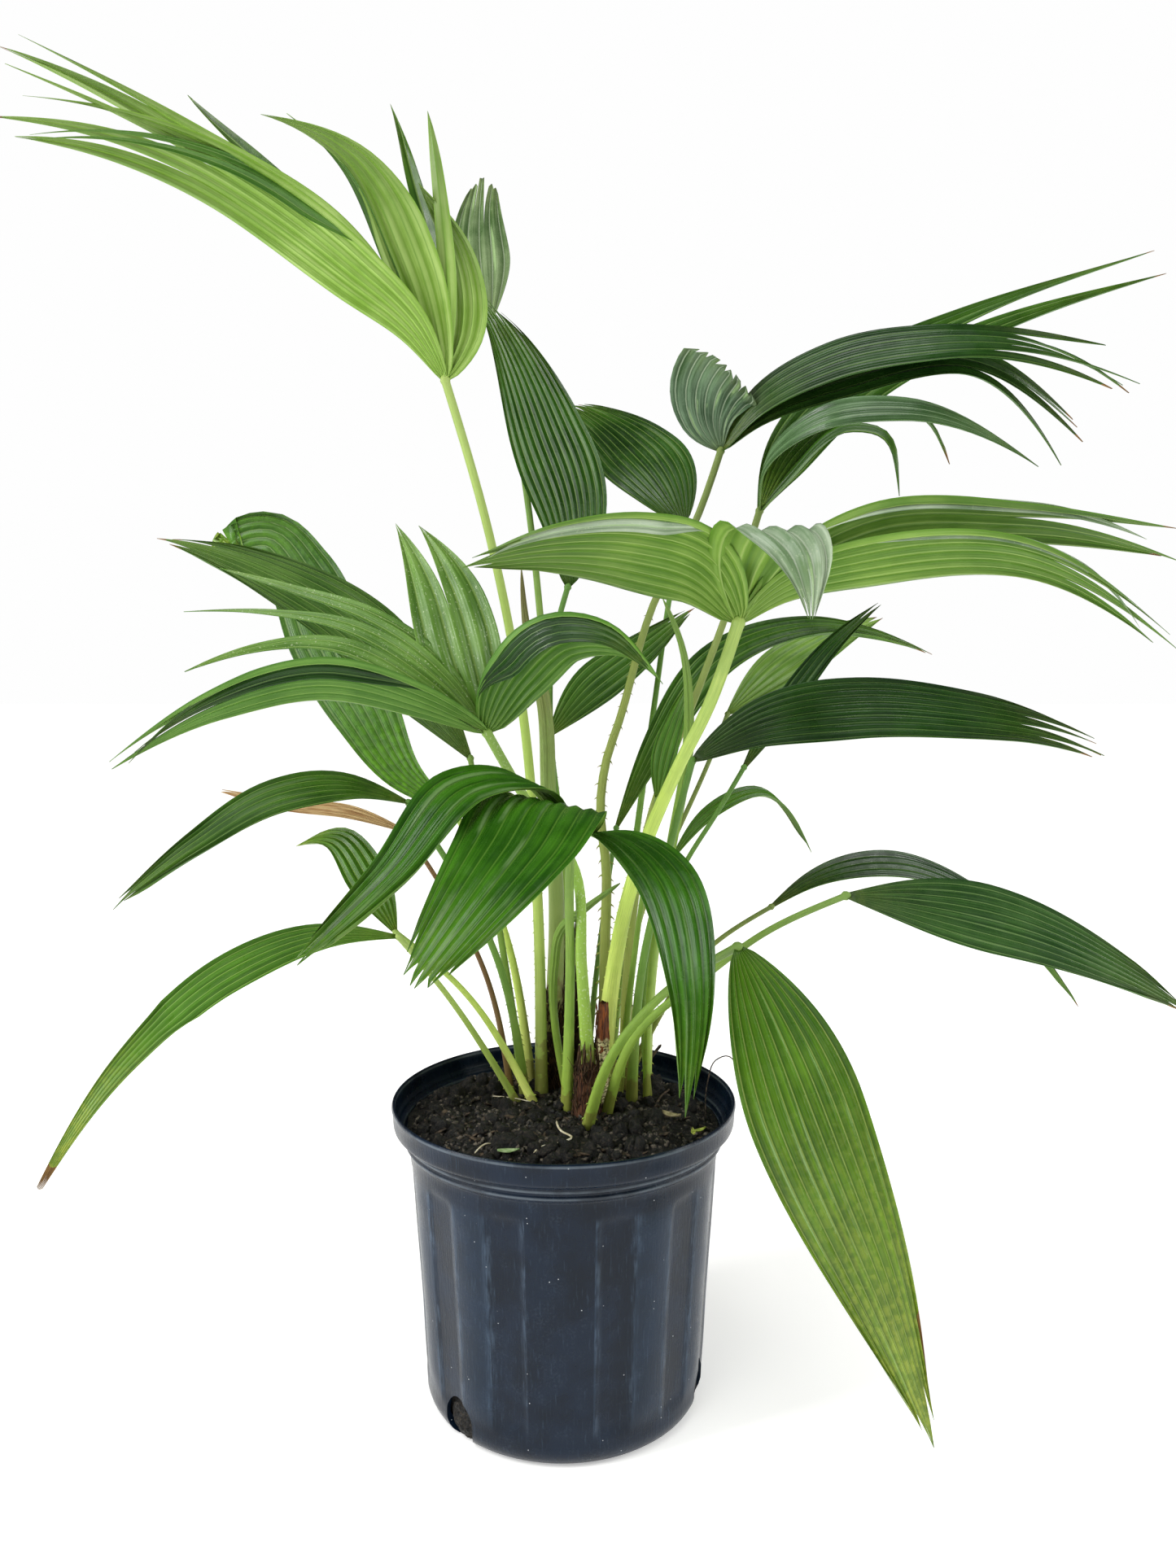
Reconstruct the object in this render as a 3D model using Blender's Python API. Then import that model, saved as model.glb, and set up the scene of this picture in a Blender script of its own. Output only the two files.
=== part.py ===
"""A potted Chinese fan palm: a clump of young fan palms in a ribbed nursery pot.

Metres, +Z up. The origin is the centre of the pot's flat underside, and the side that
faces a viewer looks along -Y. The leaf table below is in millimetres and degrees.
"""

import math
import random

import bmesh
import bpy
import numpy as np
from mathutils import Vector

MM = 0.001

# The pot, a blow-moulded nursery pot
POT_HEIGHT = 0.241
RIM_RADIUS = 0.135
BASE_RADIUS = 0.110
BODY_TOP_RADIUS = 0.1208
BODY_TOP = 0.207
WALL = 0.0022
FLOOR = 0.0030
POT_COLUMNS = 48
FLUTE_DEPTH = 0.0016
FLUTE_FOOT = 0.024
FLUTE_HEAD = 0.192
DRAIN_HOLES = 3
FIRST_DRAIN_ANGLE = math.radians(225.0)
DRAIN_HALF_WIDTH = 0.0150
DRAIN_HALF_HEIGHT = 0.0190
DRAIN_HEIGHT = 0.0170

# The potting soil that fills it
SOIL_EDGE = 0.2195
SOIL_TOP = 0.2320
SOIL_FLAT_RADIUS = 0.096
SOIL_COLUMNS = 32

# Clearance that touching pieces keep
SEAT = 0.0003

# Blades
BLADE_THICKNESS = 0.0022
THICKNESS_SHARE = 0.01
PLEAT_SLOPE = 0.40
BLADE_ROWS = 5
OUTER_SHORTER = 0.08
TIP_SHARE = 0.12

# Leaf stalks
STALK_SIDES = 6
STALK_RINGS = 7

# Old leaf-base stems in the middle of the clump: foot, top and radii, in mm
STEMS = {
    "stem_back": {"foot": (-10, 46), "top": (-9, 44, 300), "radii": (12, 9)},
    "stem_side": {"foot": (8, 68), "top": (4, 62, 352), "radii": (9, 6)},
    "stem_front": {"foot": (18, -17), "top": (19, -15, 272), "radii": (11, 8)},
    "stub_brown": {"foot": (29, 3), "top": (31, 4, 312), "radii": (6, 4.5)},
}


def lobe(segments, face, wide, *places, belly=0.42, open=0.12, split=0.85, fold=0.0):
    """Part of a fan: its pleats, the way its upper face looks, its half width and the places it runs through.

    The face is an azimuth from +X towards +Y and an elevation. The last place is the tip.
    belly is where along it the lobe is widest, open its width at the tip as a share of the
    widest, split where its segments part, fold how steeply its sides rise.
    """
    return {
        "segments": segments, "face": face, "wide": wide, "places": places,
        "belly": belly, "open": open, "split": split, "fold": fold,
    }


# Every leaf: the stalk's places from its foot to the hastula, where stalk and blade meet,
# the stalk's radii at its foot and top, and the lobes of the blade.
LEAVES = {
    "crown_left": {
        "stalk": [(-19, 28, 0), (-22, 32, 400), (-31, 40, 525), (-58, 35, 680), (-90, 30, 795)],
        "radii": (5.4, 3.6),
        "lobes": [
            lobe(5, (90, 35), 24, (-112, 20, 833), (-158, 0, 871), (-223, -38, 912), (-290, -70, 941),
                 (-362, -100, 962), belly=0.42, open=0.55, split=0.55),
            lobe(2, (95, 30), 12, (-180, 48, 918), (-280, 42, 979), (-398, 22, 1040), open=0.3, split=0.7),
            lobe(1, (250, 40), 9, (-165, 62, 900), (-237, 88, 974), (-310, 108, 1040), open=0.1),
            lobe(4, (90, 25), 21, (-114, 20, 883), (-147, -8, 948), (-210, -30, 992), open=0.12, split=0.7),
            lobe(1, (90, 20), 7, (-88, 30, 868), (-93, 28, 934), (-101, 30, 996), open=0.1),
            lobe(1, (270, 20), 8, (-99, 64, 886), (-123, 88, 974), (-138, 100, 1032), open=0.1),
            lobe(2, (90, 20), 15, (-75, 38, 835), (-79, 42, 890), (-109, 22, 940), open=0.1, belly=0.40),
        ],
    },
    "crown_back": {
        "stalk": [(4, 62, 352.3), (-4, 82, 440), (-13, 100, 522), (-10, 114, 600), (1, 120, 643)],
        "radii": (4.8, 3.0),
        "lobes": [lobe(7, (270, 25), 36, (6, 138, 703), (-20, 168, 790), (-52, 190, 866), (-84, 204, 918))],
    },
    "crown_top": {
        "stalk": [(-2, 88, 0), (-8, 110, 344), (-20, 140, 590), (-42, 170, 770), (-69, 204, 884)],
        "radii": (4.6, 2.8),
        "lobes": [lobe(5, (270, 25), 28, (-80, 240, 944), (-86, 290, 1005), (-86, 330, 1059), open=0.4)],
    },
    "centre_back": {
        "stalk": [(38, 78, 0), (60, 98, 431), (77, 120, 550), (89, 130, 634), (101, 140, 698)],
        "radii": (4.8, 2.8),
        "lobes": [lobe(6, (270, 40), 42, (84, 162, 739), (52, 206, 783), (0, 285, 832), open=0.25)],
    },
    "upper_right_back": {
        "stalk": [(33, 52, 0), (33, 48, 352), (34, 48, 414), (29, 50, 464), (33, 50, 499), (45, 50, 537),
                  (72, 45, 630), (104, 40, 693), (122, 40, 744)],
        "radii": (6.0, 3.0),
        "lobes": [
            lobe(4, (270, 45), 25, (146, 30, 778), (203, 18, 809), (277, 0, 819), (429, 0, 804),
                 open=0.45, split=0.65),
            lobe(3, (270, 45), 22, (146, 32, 768), (218, 26, 797), (302, 16, 810), (400, 18, 752),
                 open=0.6, split=0.6),
            lobe(4, (270, 20), 31, (113, 35, 770), (115, 31, 790), (127, 28, 808), open=0.6, belly=0.55),
        ],
    },
    "upper_right_front": {
        "stalk": [(49, 37, 0), (70, 38, 460), (110, 42, 568), (127, 40, 615), (152, 32, 697)],
        "radii": (5.2, 3.0),
        "lobes": [
            lobe(5, (270, 40), 27, (174, 52, 746), (239, 76, 808), (333, 90, 856), (484, 86, 896),
                 belly=0.36, open=0.45, split=0.55),
            lobe(3, (270, 45), 17, (152, 4, 730), (186, -36, 757), (245, -58, 759), (336, -58, 727),
                 open=0.1, belly=0.45),
            lobe(1, (270, 45), 7, (170, 22, 721), (214, 2, 757), (236, -8, 752), (249, -18, 704), open=0.1),
            lobe(1, (270, 45), 7, (178, 34, 726), (243, 34, 779), (278, 32, 772), (300, 32, 735), open=0.1),
        ],
    },
    "mid_right": {
        "stalk": [(31, 26, 0), (38, 17, 326), (54, -8, 416), (87, -34, 507), (106, -48, 549), (125, -60, 607)],
        "radii": (7.5, 4.6),
        "lobes": [
            lobe(6, (90, 35), 33, (100, -70, 644), (51, -90, 658), (-4, -110, 658), (-64, -120, 646),
                 belly=0.36, open=0.10),
            lobe(3, (270, 40), 22, (130, -72, 646), (142, -98, 667), (158, -128, 650), (164, -142, 612),
                 open=0.15, belly=0.45),
            lobe(4, (90, 50), 24, (157, -54, 645), (218, -52, 677), (322, -58, 681), (425, -72, 668),
                 belly=0.36, open=0.55, split=0.6),
            lobe(4, (90, 42), 22, (156, -60, 634), (223, -72, 653), (311, -86, 655), (408, -108, 604), belly=0.40),
        ],
    },
    "mid_left": {
        "stalk": [(19, -15, 272.3), (14, -18, 350), (9, -20, 425), (-28, -35, 482), (-53, -50, 529)],
        "radii": (5.6, 3.8),
        "lobes": [
            lobe(2, (270, 20), 26, (-68, -46, 573), (-87, -30, 634), (-120, -2, 700), open=0.45, split=0.5),
            lobe(3, (270, 45), 22, (-87, -56, 567), (-147, -44, 606), (-216, -26, 622), (-286, -16, 628),
                 open=0.45, split=0.7),
            lobe(4, (90, 50), 24, (-98, -72, 554), (-162, -92, 571), (-233, -102, 555), (-319, -112, 510),
                 open=0.3, split=0.6),
            lobe(4, (90, 35), 25, (-30, -72, 573), (1, -92, 599), (40, -102, 596), (70, -112, 568)),
        ],
    },
    "front": {
        "stalk": [(2, -4, 0), (5, -10, 340), (5, -32, 420), (6, -50, 452)],
        "radii": (5.2, 3.8),
        "lobes": [
            lobe(4, (250, 60), 27, (-20, -84, 494), (-69, -128, 496), (-112, -176, 446), (-158, -200, 402),
                 open=0.25, split=0.9),
            lobe(5, (260, 60), 46, (-8, -96, 484), (-29, -160, 459), (-85, -240, 394),
                 open=0.35, split=0.9, belly=0.38),
            lobe(4, (290, 45), 24, (33, -84, 463), (69, -140, 443), (83, -196, 382), (78, -222, 309),
                 open=0.18, split=0.92),
        ],
    },
    "left_upper": {
        "stalk": [(-34, 42, 0), (-50, 36, 348), (-76, 50, 502)],
        "radii": (4.6, 2.8),
        "lobes": [lobe(5, (270, 42), 32, (-112, 42, 555), (-161, 32, 609), (-234, 22, 653), (-316, 20, 680))],
    },
    "left_back": {
        "stalk": [(-30, 62, 0), (-48, 72, 345), (-94, 100, 453)],
        "radii": (4.8, 2.8),
        "lobes": [
            lobe(6, (270, 30), 34, (-139, 115, 486), (-178, 140, 545), (-214, 170, 606), (-246, 198, 668),
                 (-276, 208, 698), (-308, 198, 686), (-322, 186, 656), belly=0.60, open=0.45),
        ],
    },
    "left_arch": {
        "stalk": [(-32, 22, 0), (-52, 12, 345), (-118, 0, 472)],
        "radii": (5.0, 2.8),
        "lobes": [lobe(5, (270, 55), 21, (-163, -10, 488), (-213, -30, 483), (-266, -60, 452), (-317, -90, 410), belly=0.36)],
    },
    "left_dead": {
        "stalk": [(-44, 30, 0), (-64, 32, 330), (-100, 30, 405), (-126, 30, 446)],
        "radii": (3.0, 2.0),
        "lobes": [lobe(2, (270, 50), 12, (-171, 36, 462), (-226, 45, 467), (-287, 60, 480))],
    },
    "left_small": {
        "stalk": [(-24, 3, 0), (-78, 16, 318), (-131, 8, 369)],
        "radii": (3.8, 2.4),
        "lobes": [lobe(3, (270, 40), 17, (-156, 30, 406), (-186, 55, 438), (-228, 80, 428))],
    },
    "left_low": {
        "stalk": [(-38, 8, 0), (-90, -14, 326), (-122, -38, 376)],
        "radii": (3.4, 2.4),
        "lobes": [lobe(5, (270, 50), 18, (-175, -50, 381), (-242, -70, 358), (-308, -98, 302), (-366, -120, 225), belly=0.38)],
    },
    "right_droop": {
        "stalk": [(19, -42, 0), (37, -60, 293), (69, -82, 342), (119, -118, 388)],
        "radii": (5.0, 3.4),
        "lobes": [
            lobe(8, (290, 25), 45, (145, -138, 337), (175, -158, 259), (214, -175, 163), (248, -181, 68),
                 open=0.10, belly=0.36),
        ],
    },
    "right_low": {
        "stalk": [(34, -12, 0), (52, -22, 290), (109, -50, 353), (148, -65, 387), (200, -80, 416)],
        "radii": (5.6, 3.2),
        "lobes": [lobe(6, (270, 50), 31, (254, -85, 412), (333, -90, 394), (396, -95, 366), (446, -100, 336))],
    },
    "right_low_back": {
        "stalk": [(50, 48, 0), (67, 43, 272), (118, 40, 350), (166, 40, 383)],
        "radii": (4.6, 2.6),
        "lobes": [lobe(4, (270, 60), 18, (206, 58, 404), (280, 90, 411), (375, 120, 370), (467, 140, 266))],
    },
    "right_dark": {
        "stalk": [(54, 12, 0), (62, 0, 347), (80, -10, 434), (97, -20, 506)],
        "radii": (4.8, 2.8),
        "lobes": [
            lobe(6, (270, 45), 31, (145, -25, 536), (216, -35, 549), (301, -50, 544), (401, -60, 525),
                 open=0.35, split=0.75, belly=0.38),
        ],
    },
    "right_arch": {
        "stalk": [(18, 86, 0), (30, 76, 353), (42, 60, 444)],
        "radii": (3.8, 2.4),
        "lobes": [lobe(3, (270, 48), 19, (78, 70, 518), (125, 96, 582), (216, 140, 614), (333, 170, 589))],
    },
    "right_light": {
        "stalk": [(56, 66, 0), (66, 88, 373), (88, 100, 420), (124, 110, 499), (139, 120, 535)],
        "radii": (4.0, 2.4),
        "lobes": [lobe(4, (270, 40), 23, (183, 150, 570), (243, 200, 603), (305, 250, 625))],
    },
    "right_dark_back": {
        "stalk": [(68, 24, 0), (75, 37, 372), (100, 40, 424), (122, 35, 461), (142, 30, 497)],
        "radii": (3.6, 2.4),
        "lobes": [lobe(3, (270, 35), 10, (175, 42, 545), (219, 60, 598), (263, 80, 633))],
    },
    "right_small": {
        "stalk": [(69, 55, 0), (76, 62, 340), (89, 70, 417)],
        "radii": (3.2, 2.2),
        "lobes": [lobe(2, (270, 60), 9, (121, 90, 454), (170, 120, 470), (221, 150, 411))],
    },
    "centre": {
        "stalk": [(-19, 78, 0), (-23, 84, 400), (-13, 80, 519)],
        "radii": (4.0, 2.6),
        "lobes": [lobe(4, (270, 30), 20, (18, 90, 557), (66, 108, 594), (111, 126, 630))],
    },
    "narrow": {
        "stalk": [(44, 24, 0), (58, 27, 360), (74, 30, 471)],
        "radii": (3.4, 2.2),
        "lobes": [lobe(3, (270, 20), 10, (79, 30, 507), (89, 30, 539), (102, 31, 571))],
    },
}


# Leaves that haven't opened: their places from foot to tip, and their radii at foot, belly and tip
SPEARS = {
    "spear_tall": {
        "places": [(-9, 44, 300.3), (-7, 50, 390), (-13, 54, 472), (-17, 58, 550), (-30, 62, 604), (-35, 66, 657)],
        "radii": (8.0, 6.0, 1.0),
    },
    "spear_side": {
        "places": [(66, 15, 0), (71, 16, 350), (83, 11, 430), (97, 6, 533), (90, 3, 597), (76, 2, 630)],
        "radii": (3.4, 4.6, 1.2),
    },
    "spear_low": {
        "places": [(2, 21, 0), (-8, 20, 340), (-2, 12, 372), (18, 4, 391), (44, 0, 411)],
        "radii": (3.4, 4.0, 1.0),
    },
}
SPEAR_RINGS = 9
SPEAR_BELLY = 0.72


def unit(vector):
    return vector / np.linalg.norm(vector)


def heading(azimuth, elevation):
    azimuth, elevation = math.radians(azimuth), math.radians(elevation)
    flat = math.cos(elevation)
    return np.array([flat * math.cos(azimuth), flat * math.sin(azimuth), math.sin(elevation)])


def smooth_route(places, count=97):
    """Evenly spaced points on a smooth curve through the places, given in millimetres."""
    knots = MM * np.array(places, float)
    gaps = np.linalg.norm(np.diff(knots, axis=0), axis=1)
    slopes = np.diff(knots, axis=0) / gaps[:, None]
    tangents = (slopes[:-1] * gaps[1:, None] + slopes[1:] * gaps[:-1, None]) / (gaps[:-1] + gaps[1:])[:, None]
    tangents = np.vstack([1.5 * slopes[0] - 0.5 * tangents[0], tangents, 1.5 * slopes[-1] - 0.5 * tangents[-1]])
    points = []
    for span, gap in enumerate(gaps):
        for t in np.linspace(0, 1, 33)[: -1 if span < len(gaps) - 1 else None]:
            points.append(
                (2 * t**3 - 3 * t**2 + 1) * knots[span] + (t**3 - 2 * t**2 + t) * gap * tangents[span]
                + (3 * t**2 - 2 * t**3) * knots[span + 1] + (t**3 - t**2) * gap * tangents[span + 1]
            )
    points = np.array(points)
    reached = np.concatenate([[0], np.cumsum(np.linalg.norm(np.diff(points, axis=0), axis=1))])
    even = np.linspace(0, reached[-1], count)
    return np.stack([np.interp(even, reached, points[:, axis]) for axis in range(3)], axis=1)


def at_share(path, share):
    """The point at a share of the path's length."""
    place = min(max(share, 0.0), 1.0) * (len(path) - 1)
    low = min(int(place), len(path) - 2)
    return path[low] + (path[low + 1] - path[low]) * (place - low)


def half_width(piece, root, share):
    """A lobe's half width at a share of its length: it swells to its belly, then tapers."""
    if share < piece["belly"]:
        swell = math.sin(math.pi / 2 * share / piece["belly"])
    else:
        past = (share - piece["belly"]) / (1 - piece["belly"])
        swell = 1 - (1 - piece["open"]) * past**1.6
    return root + (MM * piece["wide"] - root) * swell


def lobe_surface(hastula, root, piece):
    """A lobe's pleat lines, edge, costa, edge and so on, and the smooth normals along them."""
    path = smooth_route([tuple(hastula / MM), *piece["places"]])
    tangents = np.gradient(path, axis=0)
    tangents /= np.linalg.norm(tangents, axis=1, keepdims=True)
    sideways = unit(np.cross(heading(*piece["face"]), unit(path[-1] - path[0])))
    lines = 2 * piece["segments"] + 1
    points = np.empty((lines, BLADE_ROWS + 1, 3))
    normals = np.empty_like(points)
    for row in range(BLADE_ROWS + 1):
        share = row / BLADE_ROWS
        for line in range(lines):
            across = 2 * line / (lines - 1) - 1
            place = share * (1 - OUTER_SHORTER * across**2)
            way = unit(at_share(tangents, place))
            side = unit(sideways - way * (sideways @ way))
            face = np.cross(way, side)
            reach = half_width(piece, root, share)
            points[line, row] = at_share(path, place) + reach * (across * side + abs(across) * piece["fold"] * face)
            normals[line, row] = unit(face - math.copysign(piece["fold"], across) * side * (across != 0))
    return points, normals


def lobe_sheet(hastula, root, piece, dice):
    """A lobe as a pleated sheet: vertices, their normals and quads. Its segments part near the tips."""
    points, normals = lobe_surface(hastula, root, piece)
    widths = np.linalg.norm(points[2::2] - points[:-2:2], axis=2)
    points[1::2] -= normals[1::2] * (PLEAT_SLOPE * widths / 2)[..., None]
    vertices, upward, quads = [], [], []

    def vertex(point, normal):
        vertices.append(point)
        upward.append(normal)
        return len(vertices) - 1

    last = BLADE_ROWS
    shared = {}
    fork = {}
    for edge in range(0, len(points), 2):
        inner = 0 < edge < len(points) - 1
        fork[edge] = min(last - 1, max(1, round(last * (piece["split"] + dice.uniform(-0.08, 0.08)))))
        rows = fork[edge] + 1 if inner else 0
        shared[edge] = [vertex(points[edge][row], normals[edge][row]) for row in range(rows)]
    for costa in range(1, len(points), 2):
        middle = [vertex(points[costa][row], normals[costa][row]) for row in range(last + 1)]
        sides = []
        for edge in (costa - 1, costa + 1):
            column = list(shared[edge])
            for row in range(len(column), last + 1):
                gone = max(0.0, (row - fork[edge]) / (last - fork[edge]))
                width = 1 - (1 - TIP_SHARE) * gone**1.3
                point = points[costa][row] + (points[edge][row] - points[costa][row]) * width
                column.append(vertex(point, normals[costa][row]))
            sides.append(column)
        for row in range(last):
            quads.append((sides[0][row], sides[0][row + 1], middle[row + 1], middle[row]))
            quads.append((middle[row], middle[row + 1], sides[1][row + 1], sides[1][row]))
    return np.array(vertices), np.array(upward), quads


def thicken(vertices, upward, quads, thickness):
    """A closed solid round a sheet."""
    count = len(vertices)
    solid = np.concatenate([vertices + upward * thickness / 2, vertices - upward * thickness / 2])
    faces = [tuple(quad) for quad in quads]
    faces += [tuple(corner + count for corner in reversed(quad)) for quad in quads]
    directed = {(quad[i], quad[(i + 1) % 4]) for quad in quads for i in range(4)}
    for first, second in sorted(directed):
        if (second, first) not in directed:
            faces.append((second, first, first + count, second + count))
    return solid, faces


def material(name, colour, roughness, metallic=0.0):
    made = bpy.data.materials.new(name)
    made.use_nodes = True
    shader = made.node_tree.nodes["Principled BSDF"]
    shader.inputs["Base Color"].default_value = (*colour, 1.0)
    shader.inputs["Roughness"].default_value = roughness
    shader.inputs["Metallic"].default_value = metallic
    return made


def new_object(name, mesh, finish):
    made = bpy.data.objects.new(name, mesh)
    bpy.context.scene.collection.objects.link(made)
    mesh.materials.append(finish)
    return made


def mesh_object(name, vertices, faces, finish):
    mesh = bpy.data.meshes.new(name)
    mesh.from_pydata([tuple(map(float, point)) for point in vertices], [], faces)
    solid = bmesh.new()
    solid.from_mesh(mesh)
    bmesh.ops.recalc_face_normals(solid, faces=solid.faces)
    solid.to_mesh(mesh)
    solid.free()
    return new_object(name, mesh, finish)


def drop_scraps(mesh):
    """Keeps the largest connected piece of a mesh and drops any loose scrap that a union leaves."""
    solid = bmesh.new()
    solid.from_mesh(mesh)
    waiting = set(solid.faces)
    groups = []
    while waiting:
        group = [waiting.pop()]
        for face in group:
            near = {other for edge in face.edges for other in edge.link_faces} & waiting
            waiting -= near
            group += sorted(near, key=lambda other: other.index)
        groups.append(group)
    groups.sort(key=len)
    scraps = [face for group in groups[:-1] for face in group]
    bmesh.ops.delete(solid, geom=scraps, context="FACES")
    solid.to_mesh(mesh)
    solid.free()


def join_lobes(name, pieces):
    """One solid from the lobes of a fan and the knob that they spring from."""
    helpers = bpy.data.collections.new(name + "_lobes")
    for piece in pieces[1:]:
        helpers.objects.link(piece)
    whole = pieces[0]
    whole.name = name
    union = whole.modifiers.new("union", "BOOLEAN")
    union.operation = "UNION"
    union.operand_type = "COLLECTION"
    union.collection = helpers
    union.solver = "MANIFOLD"
    graph = bpy.context.evaluated_depsgraph_get()
    joined = bpy.data.meshes.new_from_object(whole.evaluated_get(graph))
    whole.modifiers.remove(union)
    drop_scraps(joined)
    whole.data = joined
    for piece in pieces[1:]:
        bpy.data.objects.remove(piece)
    bpy.data.collections.remove(helpers)


def knob(name, centre, ahead, radius, finish):
    """The hastula: a short flat-bottomed knob that the lobes spring from."""
    made = bmesh.new()
    bmesh.ops.create_cone(
        made, cap_ends=True, segments=STALK_SIDES, radius1=radius, radius2=radius * 0.8, depth=radius * 1.8
    )
    turn = Vector(ahead).to_track_quat("Z", "Y").to_matrix().to_4x4()
    turn.translation = Vector(centre) + Vector(ahead) * radius * 0.9
    made.transform(turn)
    mesh = bpy.data.meshes.new(name)
    made.to_mesh(mesh)
    made.free()
    return new_object(name, mesh, finish)


def stalk_route(leaf):
    """The stalk's centre line and the way it points at the hastula. A foot given at height 0 stands on the soil."""
    places = [list(place) for place in leaf["stalk"]]
    if places[0][2] == 0:
        places[0][2] = (SOIL_TOP + SEAT) / MM
    route = smooth_route(places)
    return route, unit(route[-1] - route[-3])


def build_leaf(name, leaf, blade_finish, stalk_finish, dice):
    """A frond and, apart from it by a hair, its stalk."""
    route, ahead = stalk_route(leaf)
    wide, narrow = (MM * radius for radius in leaf["radii"])
    rings = np.array([at_share(route, ring / (STALK_RINGS - 1)) for ring in range(STALK_RINGS)])
    rings[-1] -= ahead * SEAT
    radii = narrow + (wide - narrow) * (1 - np.linspace(0, 1, STALK_RINGS)) ** 1.4
    vertices, faces = tube(rings, radii, np.array([0.0, 0.0, 1.0]), ahead, STALK_SIDES)
    mesh_object("stalk_" + name, vertices, faces, stalk_finish)
    pieces = [knob(name + "_knob", route[-1], ahead, narrow, blade_finish)]
    for piece in leaf["lobes"]:
        vertices, upward, quads = lobe_sheet(route[-1] + ahead * narrow * 0.9, narrow * 0.7, piece, dice)
        length = np.linalg.norm(vertices[-1] - route[-1])
        solid, faces = thicken(vertices, upward, quads, max(BLADE_THICKNESS, THICKNESS_SHARE * length))
        pieces.append(mesh_object(name + "_lobe", solid, faces, blade_finish))
    join_lobes("frond_" + name, pieces)


def tube(route, radii, first_way, last_way, sides):
    """Rings of points along a route, closed at both ends with flat caps square to the given ways."""
    vertices = []
    side = unit(np.cross(first_way, [0.37, 0.93, 0.0]))
    for index, centre in enumerate(route):
        if index == 0:
            way = first_way
        elif index == len(route) - 1:
            way = last_way
        else:
            way = unit(route[index + 1] - route[index - 1])
        side = unit(side - way * (side @ way))
        other = np.cross(way, side)
        for turn in range(sides):
            angle = 2 * math.pi * turn / sides
            offset = math.cos(angle) * side + math.sin(angle) * other
            vertices.append(centre + offset * radii[index])
    faces = [tuple(range(sides))[::-1]]
    for ring in range(len(route) - 1):
        low = ring * sides
        for turn in range(sides):
            after = (turn + 1) % sides
            faces.append((low + turn, low + after, low + sides + after, low + sides + turn))
    top = (len(route) - 1) * sides
    faces.append(tuple(range(top, top + sides)))
    return np.array(vertices), faces


def build_spear(name, spear, finish):
    places = [list(place) for place in spear["places"]]
    if places[0][2] == 0:
        places[0][2] = (SOIL_TOP + SEAT) / MM
    route = smooth_route(places)
    shares = np.linspace(0, 1, SPEAR_RINGS)
    rings = np.array([at_share(route, share) for share in shares])
    radii = MM * np.interp(shares, [0, SPEAR_BELLY, 1], spear["radii"])
    vertices, faces = tube(rings, radii, np.array([0.0, 0.0, 1.0]), unit(route[-1] - route[-3]), STALK_SIDES)
    mesh_object(name, vertices, faces, finish)


def build_stem(name, stem, finish):
    foot = np.array([*(MM * np.array(stem["foot"], float)), SOIL_TOP + SEAT])
    top = MM * np.array(stem["top"], float)
    route = np.array([foot + (top - foot) * share for share in np.linspace(0, 1, 5)])
    radii = MM * np.linspace(*stem["radii"], 5)
    upright = np.array([0.0, 0.0, 1.0])
    vertices, faces = tube(route, radii, upright, upright, 8)
    mesh_object(name, vertices, faces, finish)


def flute(angle, height):
    """How deep the pot's panels are pressed in at an angle and height: every other panel of 24."""
    panel = math.floor(angle / (2 * math.pi) * POT_COLUMNS / 2 + 1e-6)
    pressed = panel % 2 == 0 and FLUTE_FOOT < height < FLUTE_HEAD
    return FLUTE_DEPTH if pressed else 0.0


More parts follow.
